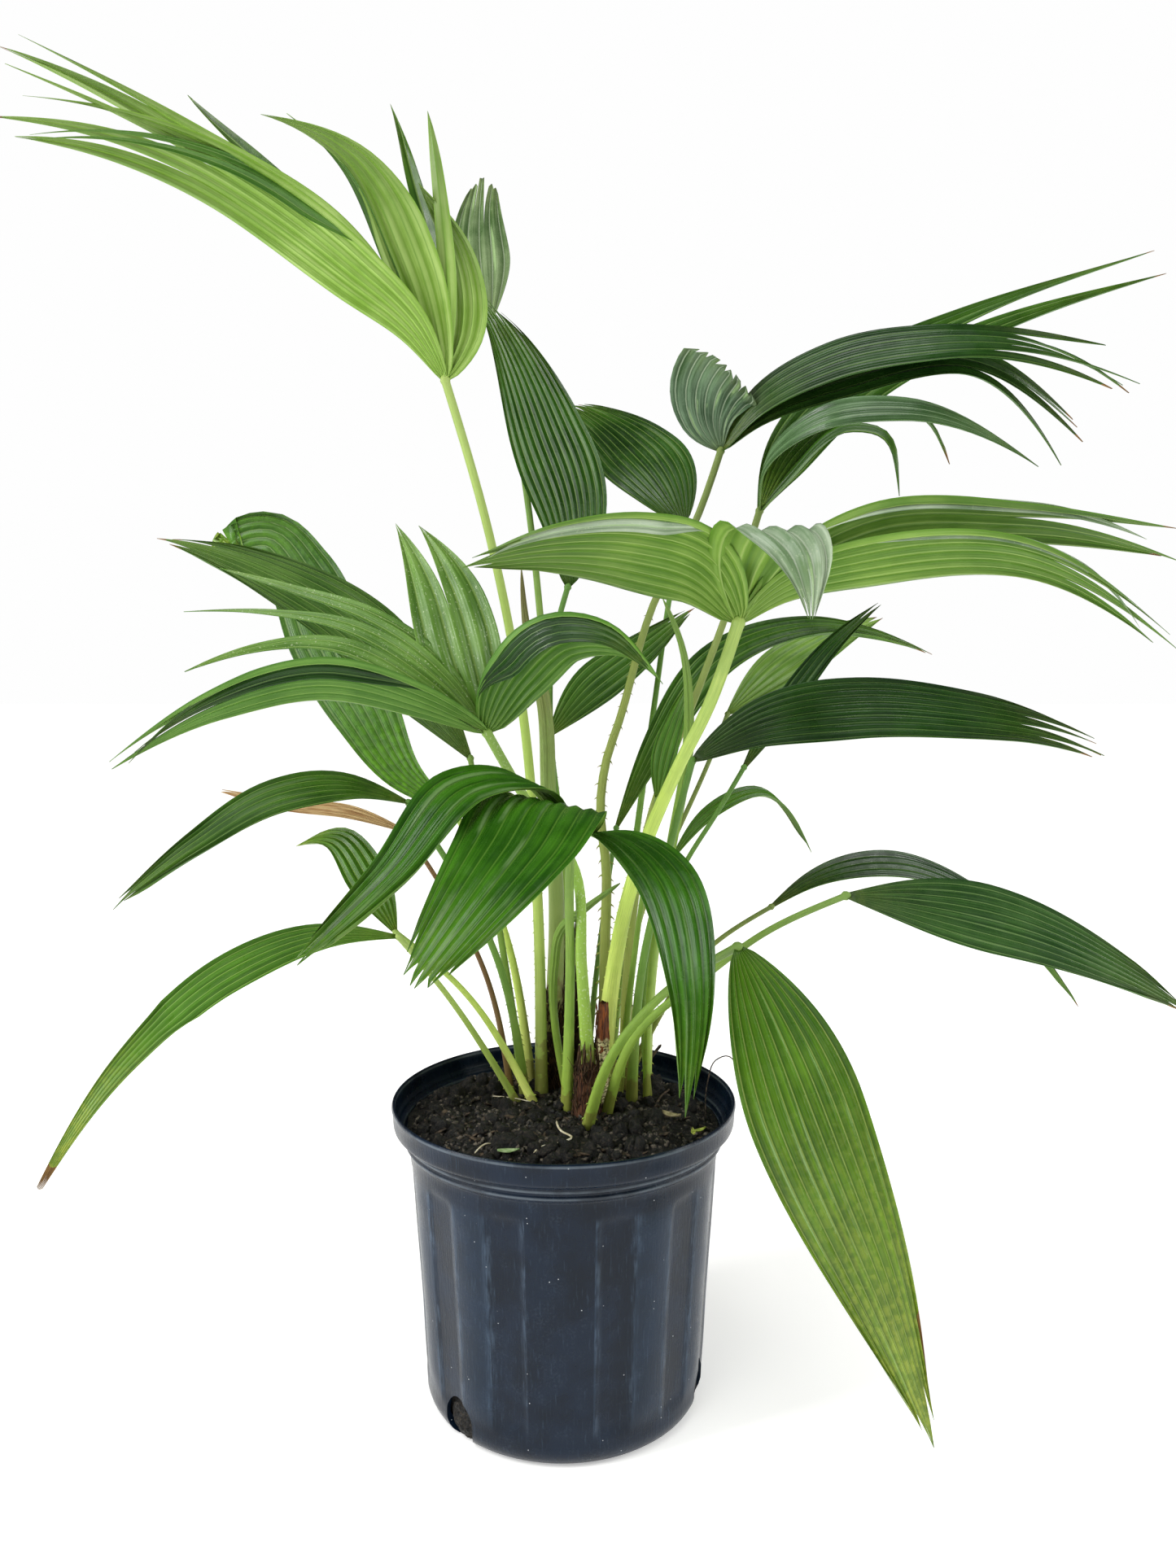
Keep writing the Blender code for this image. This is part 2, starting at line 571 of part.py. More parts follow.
def build_pot(finish):
    outside = [
        (BASE_RADIUS - 0.012, 0.0), (BASE_RADIUS - 0.004, 0.004), (BASE_RADIUS, 0.013),
        (BASE_RADIUS + 0.0005, FLUTE_FOOT), (BASE_RADIUS + 0.0009, FLUTE_FOOT + 0.005),
        (BODY_TOP_RADIUS - 0.0005, FLUTE_HEAD - 0.003), (BODY_TOP_RADIUS, FLUTE_HEAD + 0.003),
        (BODY_TOP_RADIUS + 0.0010, BODY_TOP), (BODY_TOP_RADIUS + 0.0048, BODY_TOP + 0.0045),
        (BODY_TOP_RADIUS + 0.0056, BODY_TOP + 0.0100), (RIM_RADIUS - 0.0052, BODY_TOP + 0.0130),
        (RIM_RADIUS - 0.0018, BODY_TOP + 0.0160), (RIM_RADIUS, POT_HEIGHT - 0.003),
        (RIM_RADIUS - 0.0008, POT_HEIGHT),
    ]
    inside = [
        (RIM_RADIUS - 0.0026, POT_HEIGHT), (RIM_RADIUS - 0.0044, BODY_TOP + 0.0175),
        (BODY_TOP_RADIUS + 0.0030, BODY_TOP + 0.0115), (BODY_TOP_RADIUS - 0.0012, BODY_TOP + 0.0010),
        (BODY_TOP_RADIUS - WALL - FLUTE_DEPTH, FLUTE_HEAD), (BASE_RADIUS - WALL - FLUTE_DEPTH, 0.016),
        (BASE_RADIUS - 0.010, FLOOR),
    ]
    vertices = []
    faces = []
    profile = outside + inside
    for index, (radius, height) in enumerate(profile):
        for column in range(POT_COLUMNS):
            angle = 2 * math.pi * (column + 0.5) / POT_COLUMNS
            pressed = flute(angle, height) if index < len(outside) else 0.0
            vertices.append(((radius - pressed) * math.cos(angle), (radius - pressed) * math.sin(angle), height))
    for ring in range(len(profile) - 1):
        for column in range(POT_COLUMNS):
            after = (column + 1) % POT_COLUMNS
            low = ring * POT_COLUMNS
            faces.append((low + column, low + after, low + POT_COLUMNS + after, low + POT_COLUMNS + column))
    faces.append(tuple(range(POT_COLUMNS))[::-1])
    top = (len(profile) - 1) * POT_COLUMNS
    faces.append(tuple(range(top, top + POT_COLUMNS)))
    pot = mesh_object("pot", vertices, faces, finish)
    for hole in range(DRAIN_HOLES):
        cut_drain(pot, FIRST_DRAIN_ANGLE + 2 * math.pi * hole / DRAIN_HOLES, hole)


def cut_drain(pot, angle, number):
    """An oval drain hole through the wall where it meets the floor."""
    cutter = bmesh.new()
    bmesh.ops.create_cone(cutter, cap_ends=True, segments=12, radius1=1.0, radius2=1.0, depth=0.024)
    mesh = bpy.data.meshes.new(f"drain_cutter_{number}")
    cutter.to_mesh(mesh)
    cutter.free()
    tool = bpy.data.objects.new(mesh.name, mesh)
    bpy.context.scene.collection.objects.link(tool)
    tool.scale = (DRAIN_HALF_HEIGHT, DRAIN_HALF_WIDTH, 1.0)
    tool.rotation_euler = (0.0, math.pi / 2, angle)
    reach = BASE_RADIUS - 0.001
    tool.location = (reach * math.cos(angle), reach * math.sin(angle), DRAIN_HEIGHT)
    tool.hide_render = True
    tool.display_type = "WIRE"
    cut = pot.modifiers.new(f"drain_{number}", "BOOLEAN")
    cut.operation = "DIFFERENCE"
    cut.object = tool


def build_soil(finish):
    inner = BASE_RADIUS - WALL - FLUTE_DEPTH
    profile = [
        (BASE_RADIUS - 0.0125, FLOOR + SEAT), (inner - SEAT * 1.5, 0.018),
        (BODY_TOP_RADIUS - WALL - FLUTE_DEPTH - SEAT * 1.5, FLUTE_HEAD),
        (BODY_TOP_RADIUS - 0.0012 - SEAT * 2, BODY_TOP + 0.0010),
        (BODY_TOP_RADIUS + 0.0020, SOIL_EDGE - 0.0010), (BODY_TOP_RADIUS + 0.0010, SOIL_EDGE),
        (SOIL_FLAT_RADIUS, SOIL_TOP),
    ]
    vertices = []
    faces = []
    for radius, height in profile:
        for column in range(SOIL_COLUMNS):
            angle = 2 * math.pi * column / SOIL_COLUMNS
            vertices.append((radius * math.cos(angle), radius * math.sin(angle), height))
    for ring in range(len(profile) - 1):
        for column in range(SOIL_COLUMNS):
            after = (column + 1) % SOIL_COLUMNS
            low = ring * SOIL_COLUMNS
            faces.append((low + column, low + after, low + SOIL_COLUMNS + after, low + SOIL_COLUMNS + column))
    faces.append(tuple(range(SOIL_COLUMNS))[::-1])
    top = (len(profile) - 1) * SOIL_COLUMNS
    faces.append(tuple(range(top, top + SOIL_COLUMNS)))
    mesh_object("soil", vertices, faces, finish)


def main():
    for old in list(bpy.data.objects):
        bpy.data.objects.remove(old)
    plastic = material("black_polyethylene", (0.020, 0.026, 0.036), 0.42)
    earth = material("potting_soil", (0.018, 0.013, 0.010), 0.95)
    green = material("palm_blade", (0.055, 0.170, 0.022), 0.38)
    stalk_green = material("palm_stalk", (0.230, 0.380, 0.060), 0.45)
    fibre = material("stem_fibre", (0.060, 0.038, 0.020), 0.85)
    build_pot(plastic)
    build_soil(earth)
    for name, stem in STEMS.items():
        build_stem(name, stem, fibre)
    for name, spear in SPEARS.items():
        build_spear(name, spear, stalk_green)
    dice = random.Random(7)
    for name, leaf in LEAVES.items():
        build_leaf(name, leaf, green, stalk_green, dice)


main()
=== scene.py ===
"""Looks for the potted Chinese fan palm: a clump of young fan palms in a ribbed nursery pot.

Metres, +Z up, the origin under the pot and the viewer along -Y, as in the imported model.
The tables of stems, leaves and spears are in millimetres and degrees, as in the part's source.
"""
import math
import random

import bmesh
import bpy
import numpy as np
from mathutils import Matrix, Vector, noise


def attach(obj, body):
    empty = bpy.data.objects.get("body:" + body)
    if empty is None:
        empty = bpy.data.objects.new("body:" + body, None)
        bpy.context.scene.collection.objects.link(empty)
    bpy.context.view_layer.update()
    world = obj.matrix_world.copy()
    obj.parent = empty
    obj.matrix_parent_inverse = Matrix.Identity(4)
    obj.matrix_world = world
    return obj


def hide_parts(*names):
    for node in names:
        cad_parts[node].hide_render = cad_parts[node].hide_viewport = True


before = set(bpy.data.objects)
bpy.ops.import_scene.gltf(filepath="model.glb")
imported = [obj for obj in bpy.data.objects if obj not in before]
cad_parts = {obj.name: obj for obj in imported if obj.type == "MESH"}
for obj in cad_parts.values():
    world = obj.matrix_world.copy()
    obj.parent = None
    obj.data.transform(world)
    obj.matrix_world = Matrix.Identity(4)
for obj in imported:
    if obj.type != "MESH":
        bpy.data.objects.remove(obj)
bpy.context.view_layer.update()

MM = 0.001
TURN = 2 * math.pi

# The pot, as the source has it
BASE_RADIUS = 0.110
BODY_TOP_RADIUS = 0.1208
FLUTE_DEPTH = 0.0016
FLUTE_FOOT = 0.024
FLUTE_HEAD = 0.196
DRAIN_HOLES = 3
FIRST_DRAIN_ANGLE = math.radians(225.0)
DRAIN_HALF_WIDTH = 0.0150
DRAIN_HALF_HEIGHT = 0.0190
DRAIN_HEIGHT = 0.0170
SOIL_EDGE = 0.2195
SOIL_TOP = 0.2320
SOIL_FLAT_RADIUS = 0.096
STANDING_GAP = 0.0003

# The pot's panels: a wide one in front and 23 alike round the rest
FRONT_PANEL = math.radians(25.0)
PANEL = (TURN - FRONT_PANEL) / 23
SCOOP = 0.0010
BULGE = 0.0011

# Half the floor's width
FLOOR_REACH = 14.0

# Blades: one pleat runs from fold to fold, with its costa, the rib, at the bottom of the V
ACROSS = np.array([0.0, 0.07, 0.25, 0.44, 0.50, 0.56, 0.75, 0.93, 1.0])
SAG = np.array([0.0, 0.10, 0.47, 0.90, 1.0, 0.90, 0.47, 0.10, 0.0])
PLEAT_SLOPE = 0.50
BASE_PLEAT_SLOPE = 0.60
SHEET = 0.0005
ROW_LENGTH = 0.0078
OUTER_SHORTER = 0.08
# Painted shade: how much deep green darkens the upper side's valleys at the costae and the underside's folds
VALLEY_SHADE = 0.65
FOLD_SHADE = 0.85
END_GREEN = "#2f4d24"
# The pale green of the painted sheen: highlight streaks on one flank of some pleats
SHEEN_COLOUR = "#a4c486"
SALLOW = "#a3ad3c"

# Old leaf-base stems in the middle of the clump: foot, top and the radii there
STEMS = {
    "stem_back": ((-10, 46), (-9, 44, 300), (12, 9)),
    "stem_side": ((8, 68), (4, 62, 352), (9, 6)),
    "stem_front": ((18, -17), (19, -15, 272), (11, 8)),
    "stub_brown": ((29, 3), (31, 4, 312), (6, 4.5)),
}

# Leaves that haven't opened: their radii at foot, belly and tip, and their places from foot to tip
SPEARS = {
    "spear_tall": ((8.0, 6.0, 1.0), (-9, 44, 300.3), (-7, 50, 390), (-13, 54, 472), (-17, 58, 550),
                   (-30, 62, 604), (-35, 66, 657)),
    "spear_side": ((3.4, 4.6, 1.2), (66, 15, 0), (71, 16, 350), (83, 11, 430), (97, 6, 533), (90, 3, 597),
                   (76, 2, 630)),
    "spear_low": ((3.4, 4.0, 1.0), (2, 21, 0), (-8, 20, 340), (-2, 12, 372), (18, 4, 391), (44, 0, 411)),
}


def lobe(pleats, fingers, face, wide, *places, **others):
    """Part of a fan: its pleats, its fingers, its face, its half width and the places it runs through.

    The face is an azimuth from +X towards +Y and an elevation. The last place is the tip. belly is
    where along it the lobe is widest, open its width at the tip as a share of the widest, split
    where its fingers part, full below 1 a wider base, slope how deep its pleats are and blunt a
    finger's width at its tip. move shifts its middle and reach lengthens its tip, fan spreads its
    fingers, and other gives its upper face the flap's finish. flap is a margin folded down over
    the underside: its pleats, where they part, the degrees turned and where it begins and is full,
    at the lobe's lower edge where the pleats are negative. crossing slants a flap's fingers outwards.
    burnt is a pleat that is brown from one share of its length to another.
    """
    usual = {
        "belly": 0.42, "open": 0.12, "split": 0.85, "full": 1.0, "slope": 1.0, "blunt": 0.05, "reach": 0,
        "move": (0, 0, 0), "sideways": None, "fan": 0.0, "other": False, "flap": (0, 0.0, 0.0, 0.0, 1.0),
        "crossing": None, "burnt": (-1, 2.0, 2.0),
    }
    given = {"pleats": pleats, "fingers": fingers, "face": face, "wide": wide, "places": places}
    return {**usual, **given, **others}


def leaf(finishes, radii, stalk, *lobes, **others):
    """A leaf: finishes above, below, on the stalk and on flaps, the stalk's radii and places, and the lobes.

    The stalk runs from its foot to the hastula, where stalk and blade meet. girth and foot shape
    it, thorns is the share of it that bears them and thorn their length. The blade's fingers
    differ by up to droop, drift, twist, shorter and dry, their brown ends. base and tip let yellow
    in, as far as base_reach and from ripe on. taper and teeth shape the ends.
    """
    usual = {
        "girth": 0.86, "foot": 0.12, "thorns": 0.55, "thorn": 2.6, "droop": 0.10, "drift": 0.05, "twist": 0.5,
        "shorter": 0.22, "dry": (0.01, 0.05), "base": 0.3, "base_reach": 0.08, "tip": 0.15, "ripe": 0.62,
        "taper": 1.6, "teeth": 0.85,
    }
    return {**usual, "finishes": finishes.split(), "radii": radii, "stalk": stalk, "lobes": lobes, **others}


# Every frond, from its stalk's foot to its lobes' tips
LEAVES = {
    "crown_left": leaf("deep lit pale folded", (5.4, 3.6), [(-19, 28, 0), (-22, 32, 400), (-31, 40, 525),
        (-58, 35, 680), (-90, 30, 795)],
        lobe(7, 4, (90, 35), 24, (-112, 20, 833), (-158, 0, 871), (-223, -38, 912), (-290, -70, 941),
             (-362, -100, 962), open=0.55, split=0.55, full=0.8, reach=6, fan=0.08, crossing=0.2,
             flap=(2, 0.42, 150, 0.26, 0.48)),
        lobe(3, 2, (95, 30), 12, (-180, 48, 918), (-280, 42, 979), (-398, 22, 1040), open=0.3, split=0.7,
             reach=26, fan=0.12),
        lobe(1, 1, (250, 40), 9, (-165, 62, 900), (-237, 88, 974), (-310, 108, 1040), open=0.1),
        lobe(4, 1, (90, 25), 21, (-114, 20, 883), (-147, -8, 948), (-210, -30, 992), split=0.45, full=0.6,
             flap=(-1, 0.3, 150, 0.08, 0.35)),
        lobe(1, 1, (90, 20), 7, (-88, 30, 868), (-93, 28, 934), (-101, 30, 996), open=0.1),
        lobe(1, 1, (270, 20), 8, (-99, 64, 886), (-123, 88, 974), (-138, 100, 1032), open=0.1),
        lobe(4, 1, (90, 20), 15, (-75, 38, 835), (-79, 42, 890), (-109, 22, 940), belly=0.4, open=0.1,
             full=0.6),
        thorns=0.4, taper=1.9, dry=(0.0, 0.03), droop=0.08, drift=0.16, twist=1.0, shorter=0.04, base=0.15,
    ),
    "crown_back": leaf("deep_ribbed dull deep", (4.8, 3.0), [(4, 62, 352.3), (-4, 82, 440), (-13, 100, 522),
        (-10, 114, 600), (1, 120, 643)],
        lobe(11, 8, (270, 25), 36, (6, 138, 703), (-20, 168, 790), (-52, 190, 866), (-84, 204, 918),
             full=0.8),
        girth=0.76, base=0.1,
    ),
    "crown_top": leaf("grey dull sheathed", (4.6, 2.8), [(-2, 88, 0), (-8, 110, 344), (-20, 140, 590),
        (-42, 170, 770), (-69, 204, 884)],
        lobe(5, 3, (270, 25), 28, (-80, 240, 944), (-86, 290, 1005), (-86, 330, 1059), open=0.4, split=0.55,
             reach=8, blunt=0.9),
        girth=0.9, taper=3.0, dry=(0.0, 0.01), shorter=0.02,
    ),
    "centre_back": leaf("deep_ribbed dull deep", (4.8, 2.8), [(38, 78, 0), (60, 98, 431), (77, 120, 550),
        (89, 130, 634), (101, 140, 698)],
        lobe(12, 6, (270, 40), 42, (84, 162, 739), (52, 206, 783), (0, 285, 832), open=0.25, full=0.8),
        girth=0.76, base=0.1,
    ),
    "upper_right_back": leaf("dark dull olive grey_green", (6.0, 3.0), [(33, 52, 0), (33, 48, 352),
        (34, 48, 414), (29, 50, 464), (33, 50, 499), (45, 50, 537), (72, 45, 630), (104, 40, 693),
        (122, 40, 744)],
        lobe(5, 5, (270, 45), 25, (146, 30, 778), (203, 18, 809), (277, 0, 819), (429, 0, 804), open=0.45,
             split=0.65, full=0.5, fan=0.1, slope=0.8),
        lobe(4, 4, (270, 45), 22, (146, 32, 768), (218, 26, 797), (302, 16, 810), (400, 18, 752), open=0.6,
             split=0.6, full=0.6, fan=0.12, slope=0.8),
        lobe(8, 5, (270, 20), 35.65, (113, 35, 770), (115, 31, 790), (127, 28, 808), belly=0.92, open=0.85,
             split=0.88, blunt=0.95, slope=0.4, other=True),
        thorns=0.75, thorn=5.0, dry=(0.0, 0.05), droop=0.25, drift=0.16, twist=0.9, shorter=0.12,
    ),
    "upper_right_front": leaf("deep dull olive slate", (5.2, 3.0), [(49, 37, 0), (70, 38, 460),
        (110, 42, 568), (127, 40, 615), (152, 32, 697)],
        lobe(6, 2, (270, 40), 27, (174, 52, 746), (239, 76, 808), (333, 90, 856), (484, 86, 896), belly=0.36,
             open=0.45, split=0.5, reach=8),
        lobe(4, 1, (270, 45), 17, (152, 4, 730), (186, -36, 757), (245, -58, 759), (336, -58, 727),
             belly=0.45, open=0.1, split=0.6, other=True),
        lobe(1, 1, (270, 45), 7, (170, 22, 721), (214, 2, 757), (236, -8, 752), (249, -18, 704), open=0.1),
        lobe(1, 1, (270, 45), 7, (178, 34, 726), (243, 34, 779), (278, 32, 772), (300, 32, 735), open=0.1),
        thorn=3.0, taper=1.9, dry=(0.0, 0.05), droop=0.0, drift=0.14, twist=0.9, shorter=0.0,
    ),
    "mid_right": leaf("glossy light lime", (7.5, 4.6), [(31, 26, 0), (38, 17, 326), (54, -8, 416),
        (87, -34, 507), (106, -48, 549), (125, -60, 607)],
        lobe(9, 3, (90, 35), 33, (100, -70, 644), (51, -90, 658), (-4, -110, 658), (-64, -120, 646),
             belly=0.36, open=0.1, full=0.65, flap=(2, 0.85, 150, 0.22, 0.45)),
        lobe(4, 1, (270, 40), 35.2, (130, -72, 646), (142, -98, 667), (158, -128, 650), (164, -142, 612),
             belly=0.45, open=0.15, move=(0, 0, 7), sideways=(1.0, 0.1, 0.0), blunt=0.35),
        lobe(5, 3, (90, 50), 24, (157, -54, 645), (218, -52, 677), (322, -58, 681), (425, -72, 668),
             belly=0.36, open=0.55, split=0.6, full=0.7, reach=8, fan=0.08, flap=(1, 0.7, 140, 0.1, 0.45)),
        lobe(6, 3, (90, 42), 22, (156, -60, 634), (223, -72, 653), (311, -86, 655), (408, -108, 604),
             belly=0.4, split=0.65, full=0.7, reach=8, fan=0.08, flap=(1, 0.8, 150, 0.15, 0.5)),
        girth=0.95, thorns=0.6, thorn=3.2, taper=1.9, dry=(0.0, 0.03), shorter=0.0, base=0.3,
    ),
    "mid_left": leaf("mid_specked soft specked dark", (5.6, 3.8), [(19, -15, 272.3), (14, -18, 350),
        (9, -20, 425), (-28, -35, 482), (-53, -50, 529)],
        lobe(4, 2, (270, 20), 29.9, (-68, -46, 573), (-87, -30, 634), (-120, -2, 700), open=0.45, split=0.5,
             full=0.55),
        lobe(6, 3, (270, 45), 24.2, (-87, -56, 567), (-147, -44, 606), (-216, -26, 622), (-286, -16, 628),
             open=0.45, split=0.32, full=0.8, fan=0.24),
        lobe(6, 2, (90, 50), 24, (-98, -72, 554), (-162, -92, 571), (-233, -102, 555), (-319, -112, 510),
             open=0.3, split=0.6, full=0.7, flap=(2, 0.5, 150, 0.1, 0.4)),
        lobe(8, 3, (90, 35), 25, (-30, -72, 573), (1, -92, 599), (40, -102, 596), (70, -112, 568), split=0.9,
             full=0.55, flap=(4, 0.85, 135, 0.1, 0.4)),
        thorn=2.2, taper=2.0, dry=(0.0, 0.02), drift=0.08, shorter=0.12, base=0.2,
    ),
    "front": leaf("mid light mid", (5.2, 3.8), [(2, -4, 0), (5, -10, 340), (5, -32, 420), (6, -50, 452)],
        lobe(5, 4, (250, 60), 27, (-20, -84, 494), (-69, -128, 496), (-112, -176, 446), (-158, -200, 402),
             open=0.25, split=0.9, full=0.8, reach=6, move=(4, 16, 4)),
        lobe(8, 6, (260, 60), 46, (-8, -96, 484), (-29, -160, 459), (-85, -240, 394), belly=0.38, open=0.35,
             split=0.9, full=0.5, move=(0, -6, 6), slope=0.6),
        lobe(6, 3, (290, 45), 24, (33, -84, 463), (69, -140, 443), (83, -196, 382), (78, -222, 309),
             open=0.18, split=0.92),
        dry=(0.0, 0.01), shorter=0.2, base=0.15,
    ),
    "left_upper": leaf("broad dull mid", (4.6, 2.8), [(-34, 42, 0), (-50, 36, 348), (-76, 50, 502)],
        lobe(9, 3, (270, 42), 32, (-112, 42, 555), (-161, 32, 609), (-234, 22, 653), (-316, 20, 680)),
        girth=0.76,
    ),
    "left_back": leaf("vivid leafy lime", (4.8, 2.8), [(-30, 62, 0), (-48, 72, 345), (-94, 100, 453)],
        lobe(7, 1, (270, 30), 36.04, (-139, 115, 486), (-178, 140, 545), (-214, 170, 606), (-246, 198, 668),
             (-276, 208, 698), (-308, 198, 686), (-322, 186, 656), belly=0.6, open=0.6, split=0.93,
             reach=-15, move=(0, 0, -5), blunt=0.85, slope=0.42),
        teeth=0.0, dry=(0.0, 0.0), droop=0.0, twist=0.0, shorter=0.0, base=1.0, base_reach=0.35, ripe=0.6,
        tip=0.3,
    ),
    "left_arch": leaf("deep dull deep", (5.0, 2.8), [(-32, 22, 0), (-52, 12, 345), (-118, 0, 472)],
        lobe(6, 3, (270, 55), 21, (-163, -10, 488), (-213, -30, 483), (-266, -60, 452), (-317, -90, 410),
             belly=0.36, split=0.92),
        girth=0.76,
    ),
    "left_dead": leaf("straw straw dead", (3.0, 2.0), [(-44, 30, 0), (-64, 32, 330), (-100, 30, 405),
        (-126, 30, 446)],
        lobe(4, 2, (270, 50), 7.44, (-171, 36, 462), (-226, 45, 467), (-287, 60, 480)),
        thorns=0.0, dry=(0.2, 0.5),
    ),
    "left_small": leaf("leafy leafy lime", (3.8, 2.4), [(-24, 3, 0), (-78, 16, 318), (-131, 8, 369)],
        lobe(5, 3, (270, 40), 17, (-156, 30, 406), (-186, 55, 438), (-228, 80, 428)),
        thorns=0.2, base=0.6, tip=0.5,
    ),
    "left_low": leaf("leafy light pale", (3.4, 2.4), [(-38, 8, 0), (-90, -14, 326), (-122, -38, 376)],
        lobe(6, 1, (270, 50), 18, (-175, -50, 381), (-242, -70, 358), (-308, -98, 302), (-366, -120, 225),
             open=0.45, split=0.55, blunt=0.25),
        thorns=0.3, taper=0.55, dry=(0.05, 0.07), droop=0.12, twist=1.2, shorter=0.0, ripe=0.55, tip=1.0,
    ),
    "right_droop": leaf("sallow light mid", (5.0, 3.4), [(19, -42, 0), (37, -60, 293), (69, -82, 342),
        (119, -118, 388)],
        lobe(10, 3, (290, 25), 45, (145, -138, 337), (175, -158, 259), (214, -175, 163), (248, -181, 68),
             belly=0.36, open=0.1, split=0.9, full=0.75, burnt=(9, 0.82, 0.97)),
        thorn=2.6, dry=(0.0, 0.02), base=0.0, ripe=0.1, tip=0.6,
    ),
    "right_low": leaf("dusky dull mid", (5.6, 3.2), [(34, -12, 0), (52, -22, 290), (109, -50, 353),
        (148, -65, 387), (200, -80, 416)],
        lobe(9, 3, (270, 50), 31, (254, -85, 412), (333, -90, 394), (396, -95, 366), (446, -100, 336)),
        girth=0.7, base=0.2,
    ),
    "right_low_back": leaf("dark leafy olive", (4.6, 2.6), [(50, 48, 0), (67, 43, 272), (118, 40, 350),
        (166, 40, 383)],
        lobe(4, 2, (270, 60), 18, (206, 58, 404), (280, 90, 411), (375, 120, 370), (467, 140, 266)),
        girth=0.7,
    ),
    "right_dark": leaf("dark dull deep", (4.8, 2.8), [(54, 12, 0), (62, 0, 347), (80, -10, 434),
        (97, -20, 506)],
        lobe(9, 6, (270, 45), 31, (145, -25, 536), (216, -35, 549), (301, -50, 544), (401, -60, 525),
             belly=0.38, open=0.35, split=0.75, full=0.8),
        droop=0.12, base=0.1,
    ),
    "right_arch": leaf("deep leafy deep", (3.8, 2.4), [(18, 86, 0), (30, 76, 353), (42, 60, 444)],
        lobe(5, 2, (270, 48), 19, (78, 70, 518), (125, 96, 582), (216, 140, 614), (333, 170, 589)),
        girth=0.76, shorter=0.05,
    ),
    "right_light": leaf("light_upper light olive", (4.0, 2.4), [(56, 66, 0), (66, 88, 373), (88, 100, 420),
        (124, 110, 499), (139, 120, 535)],
        lobe(6, 2, (270, 40), 23, (183, 150, 570), (243, 200, 603), (305, 250, 625)),
        girth=0.75,
    ),
    "right_dark_back": leaf("dark dull deep", (3.6, 2.4), [(68, 24, 0), (75, 37, 372), (100, 40, 424),
        (122, 35, 461), (142, 30, 497)],
        lobe(4, 2, (270, 35), 10, (175, 42, 545), (219, 60, 598), (263, 80, 633)),
        girth=0.75,
    ),
    "right_small": leaf("leafy light pale", (3.2, 2.2), [(69, 55, 0), (76, 62, 340), (89, 70, 417)],
        lobe(3, 1, (270, 60), 9, (121, 90, 454), (170, 120, 470), (221, 150, 411)),
    ),
    "centre": leaf("deep leafy pale", (4.0, 2.6), [(-19, 78, 0), (-23, 84, 400), (-13, 80, 519)],
        lobe(6, 3, (270, 30), 20, (18, 90, 557), (66, 108, 594), (111, 126, 630)),
    ),
    "narrow": leaf("leafy light mid", (3.4, 2.2), [(44, 24, 0), (58, 27, 360), (74, 30, 471)],
        lobe(4, 1, (270, 20), 10, (79, 30, 507), (89, 30, 539), (102, 31, 571)),
    ),
}


def unit(vector):
    return vector / np.linalg.norm(vector)


def round_z(angle, radius=1.0, height=0.0):
    """A point at an angle and a radius from the Z axis."""
    return np.array([radius * math.cos(angle), radius * math.sin(angle), height])


def heading(azimuth, elevation):
    azimuth, elevation = math.radians(azimuth), math.radians(elevation)
    return round_z(azimuth, math.cos(elevation), math.sin(elevation))


def smooth_between(value, low, high):
    """0 below low, 1 above high and a smooth step between, for a number or an array."""
    t = np.clip((value - low) / (high - low), 0.0, 1.0)
    return t * t * (3 - 2 * t)


def ways_along(path):
    ways = np.gradient(path, axis=0)
    return ways / np.linalg.norm(ways, axis=1, keepdims=True)


def run_length(path):
    return float(np.linalg.norm(np.diff(path, axis=0), axis=1).sum())


def smooth_route(places, count=97):
    """Evenly spaced points on a smooth curve through the places, given in millimetres."""
    knots = MM * np.array(places, float)
    gaps = np.linalg.norm(np.diff(knots, axis=0), axis=1)
    slopes = np.diff(knots, axis=0) / gaps[:, None]
    tangents = (slopes[:-1] * gaps[1:, None] + slopes[1:] * gaps[:-1, None]) / (gaps[:-1] + gaps[1:])[:, None]
    first = 1.5 * slopes[0] - 0.5 * tangents[0]
    last = 1.5 * slopes[-1] - 0.5 * tangents[-1]
    tangents = np.vstack([first, tangents, last])
    points = []
    for span, gap in enumerate(gaps):
        for t in np.linspace(0, 1, 33)[: -1 if span < len(gaps) - 1 else None]:
            points.append(
                (2 * t**3 - 3 * t**2 + 1) * knots[span] + (t**3 - 2 * t**2 + t) * gap * tangents[span]
                + (3 * t**2 - 2 * t**3) * knots[span + 1] + (t**3 - t**2) * gap * tangents[span + 1]
            )
    points = np.array(points)
    reached = np.concatenate([[0], np.cumsum(np.linalg.norm(np.diff(points, axis=0), axis=1))])
    even = np.linspace(0, reached[-1], count)
    return np.stack([np.interp(even, reached, points[:, axis]) for axis in range(3)], axis=1)


def standing_route(places):
    """A smooth route whose foot, where it is given at height 0, stands on the soil."""
    places = [list(place) for place in places]
    if places[0][2] == 0:
        places[0][2] = (SOIL_TOP + STANDING_GAP) / MM
    return smooth_route(places)


def at_shares(path, shares):
    """The points at shares of the path's length."""
    place = np.clip(shares, 0.0, 1.0) * (len(path) - 1)
    low = np.minimum(place.astype(int), len(path) - 2)
    return path[low] + (path[low + 1] - path[low]) * (place - low)[..., None]


def points_and_ways(route, shares):
    """The points at shares of a route and the ways it points there."""
    ways = at_shares(ways_along(route), shares)
    return at_shares(route, shares), ways / np.linalg.norm(ways, axis=1, keepdims=True)


def to_linear(colour):
    """An sRGB hex colour as linear RGBA."""
    shares = [int(colour[place:place + 2], 16) / 255 for place in (1, 3, 5)]
    return (*(s / 12.92 if s <= 0.04045 else ((s + 0.055) / 1.055) ** 2.4 for s in shares), 1.0)


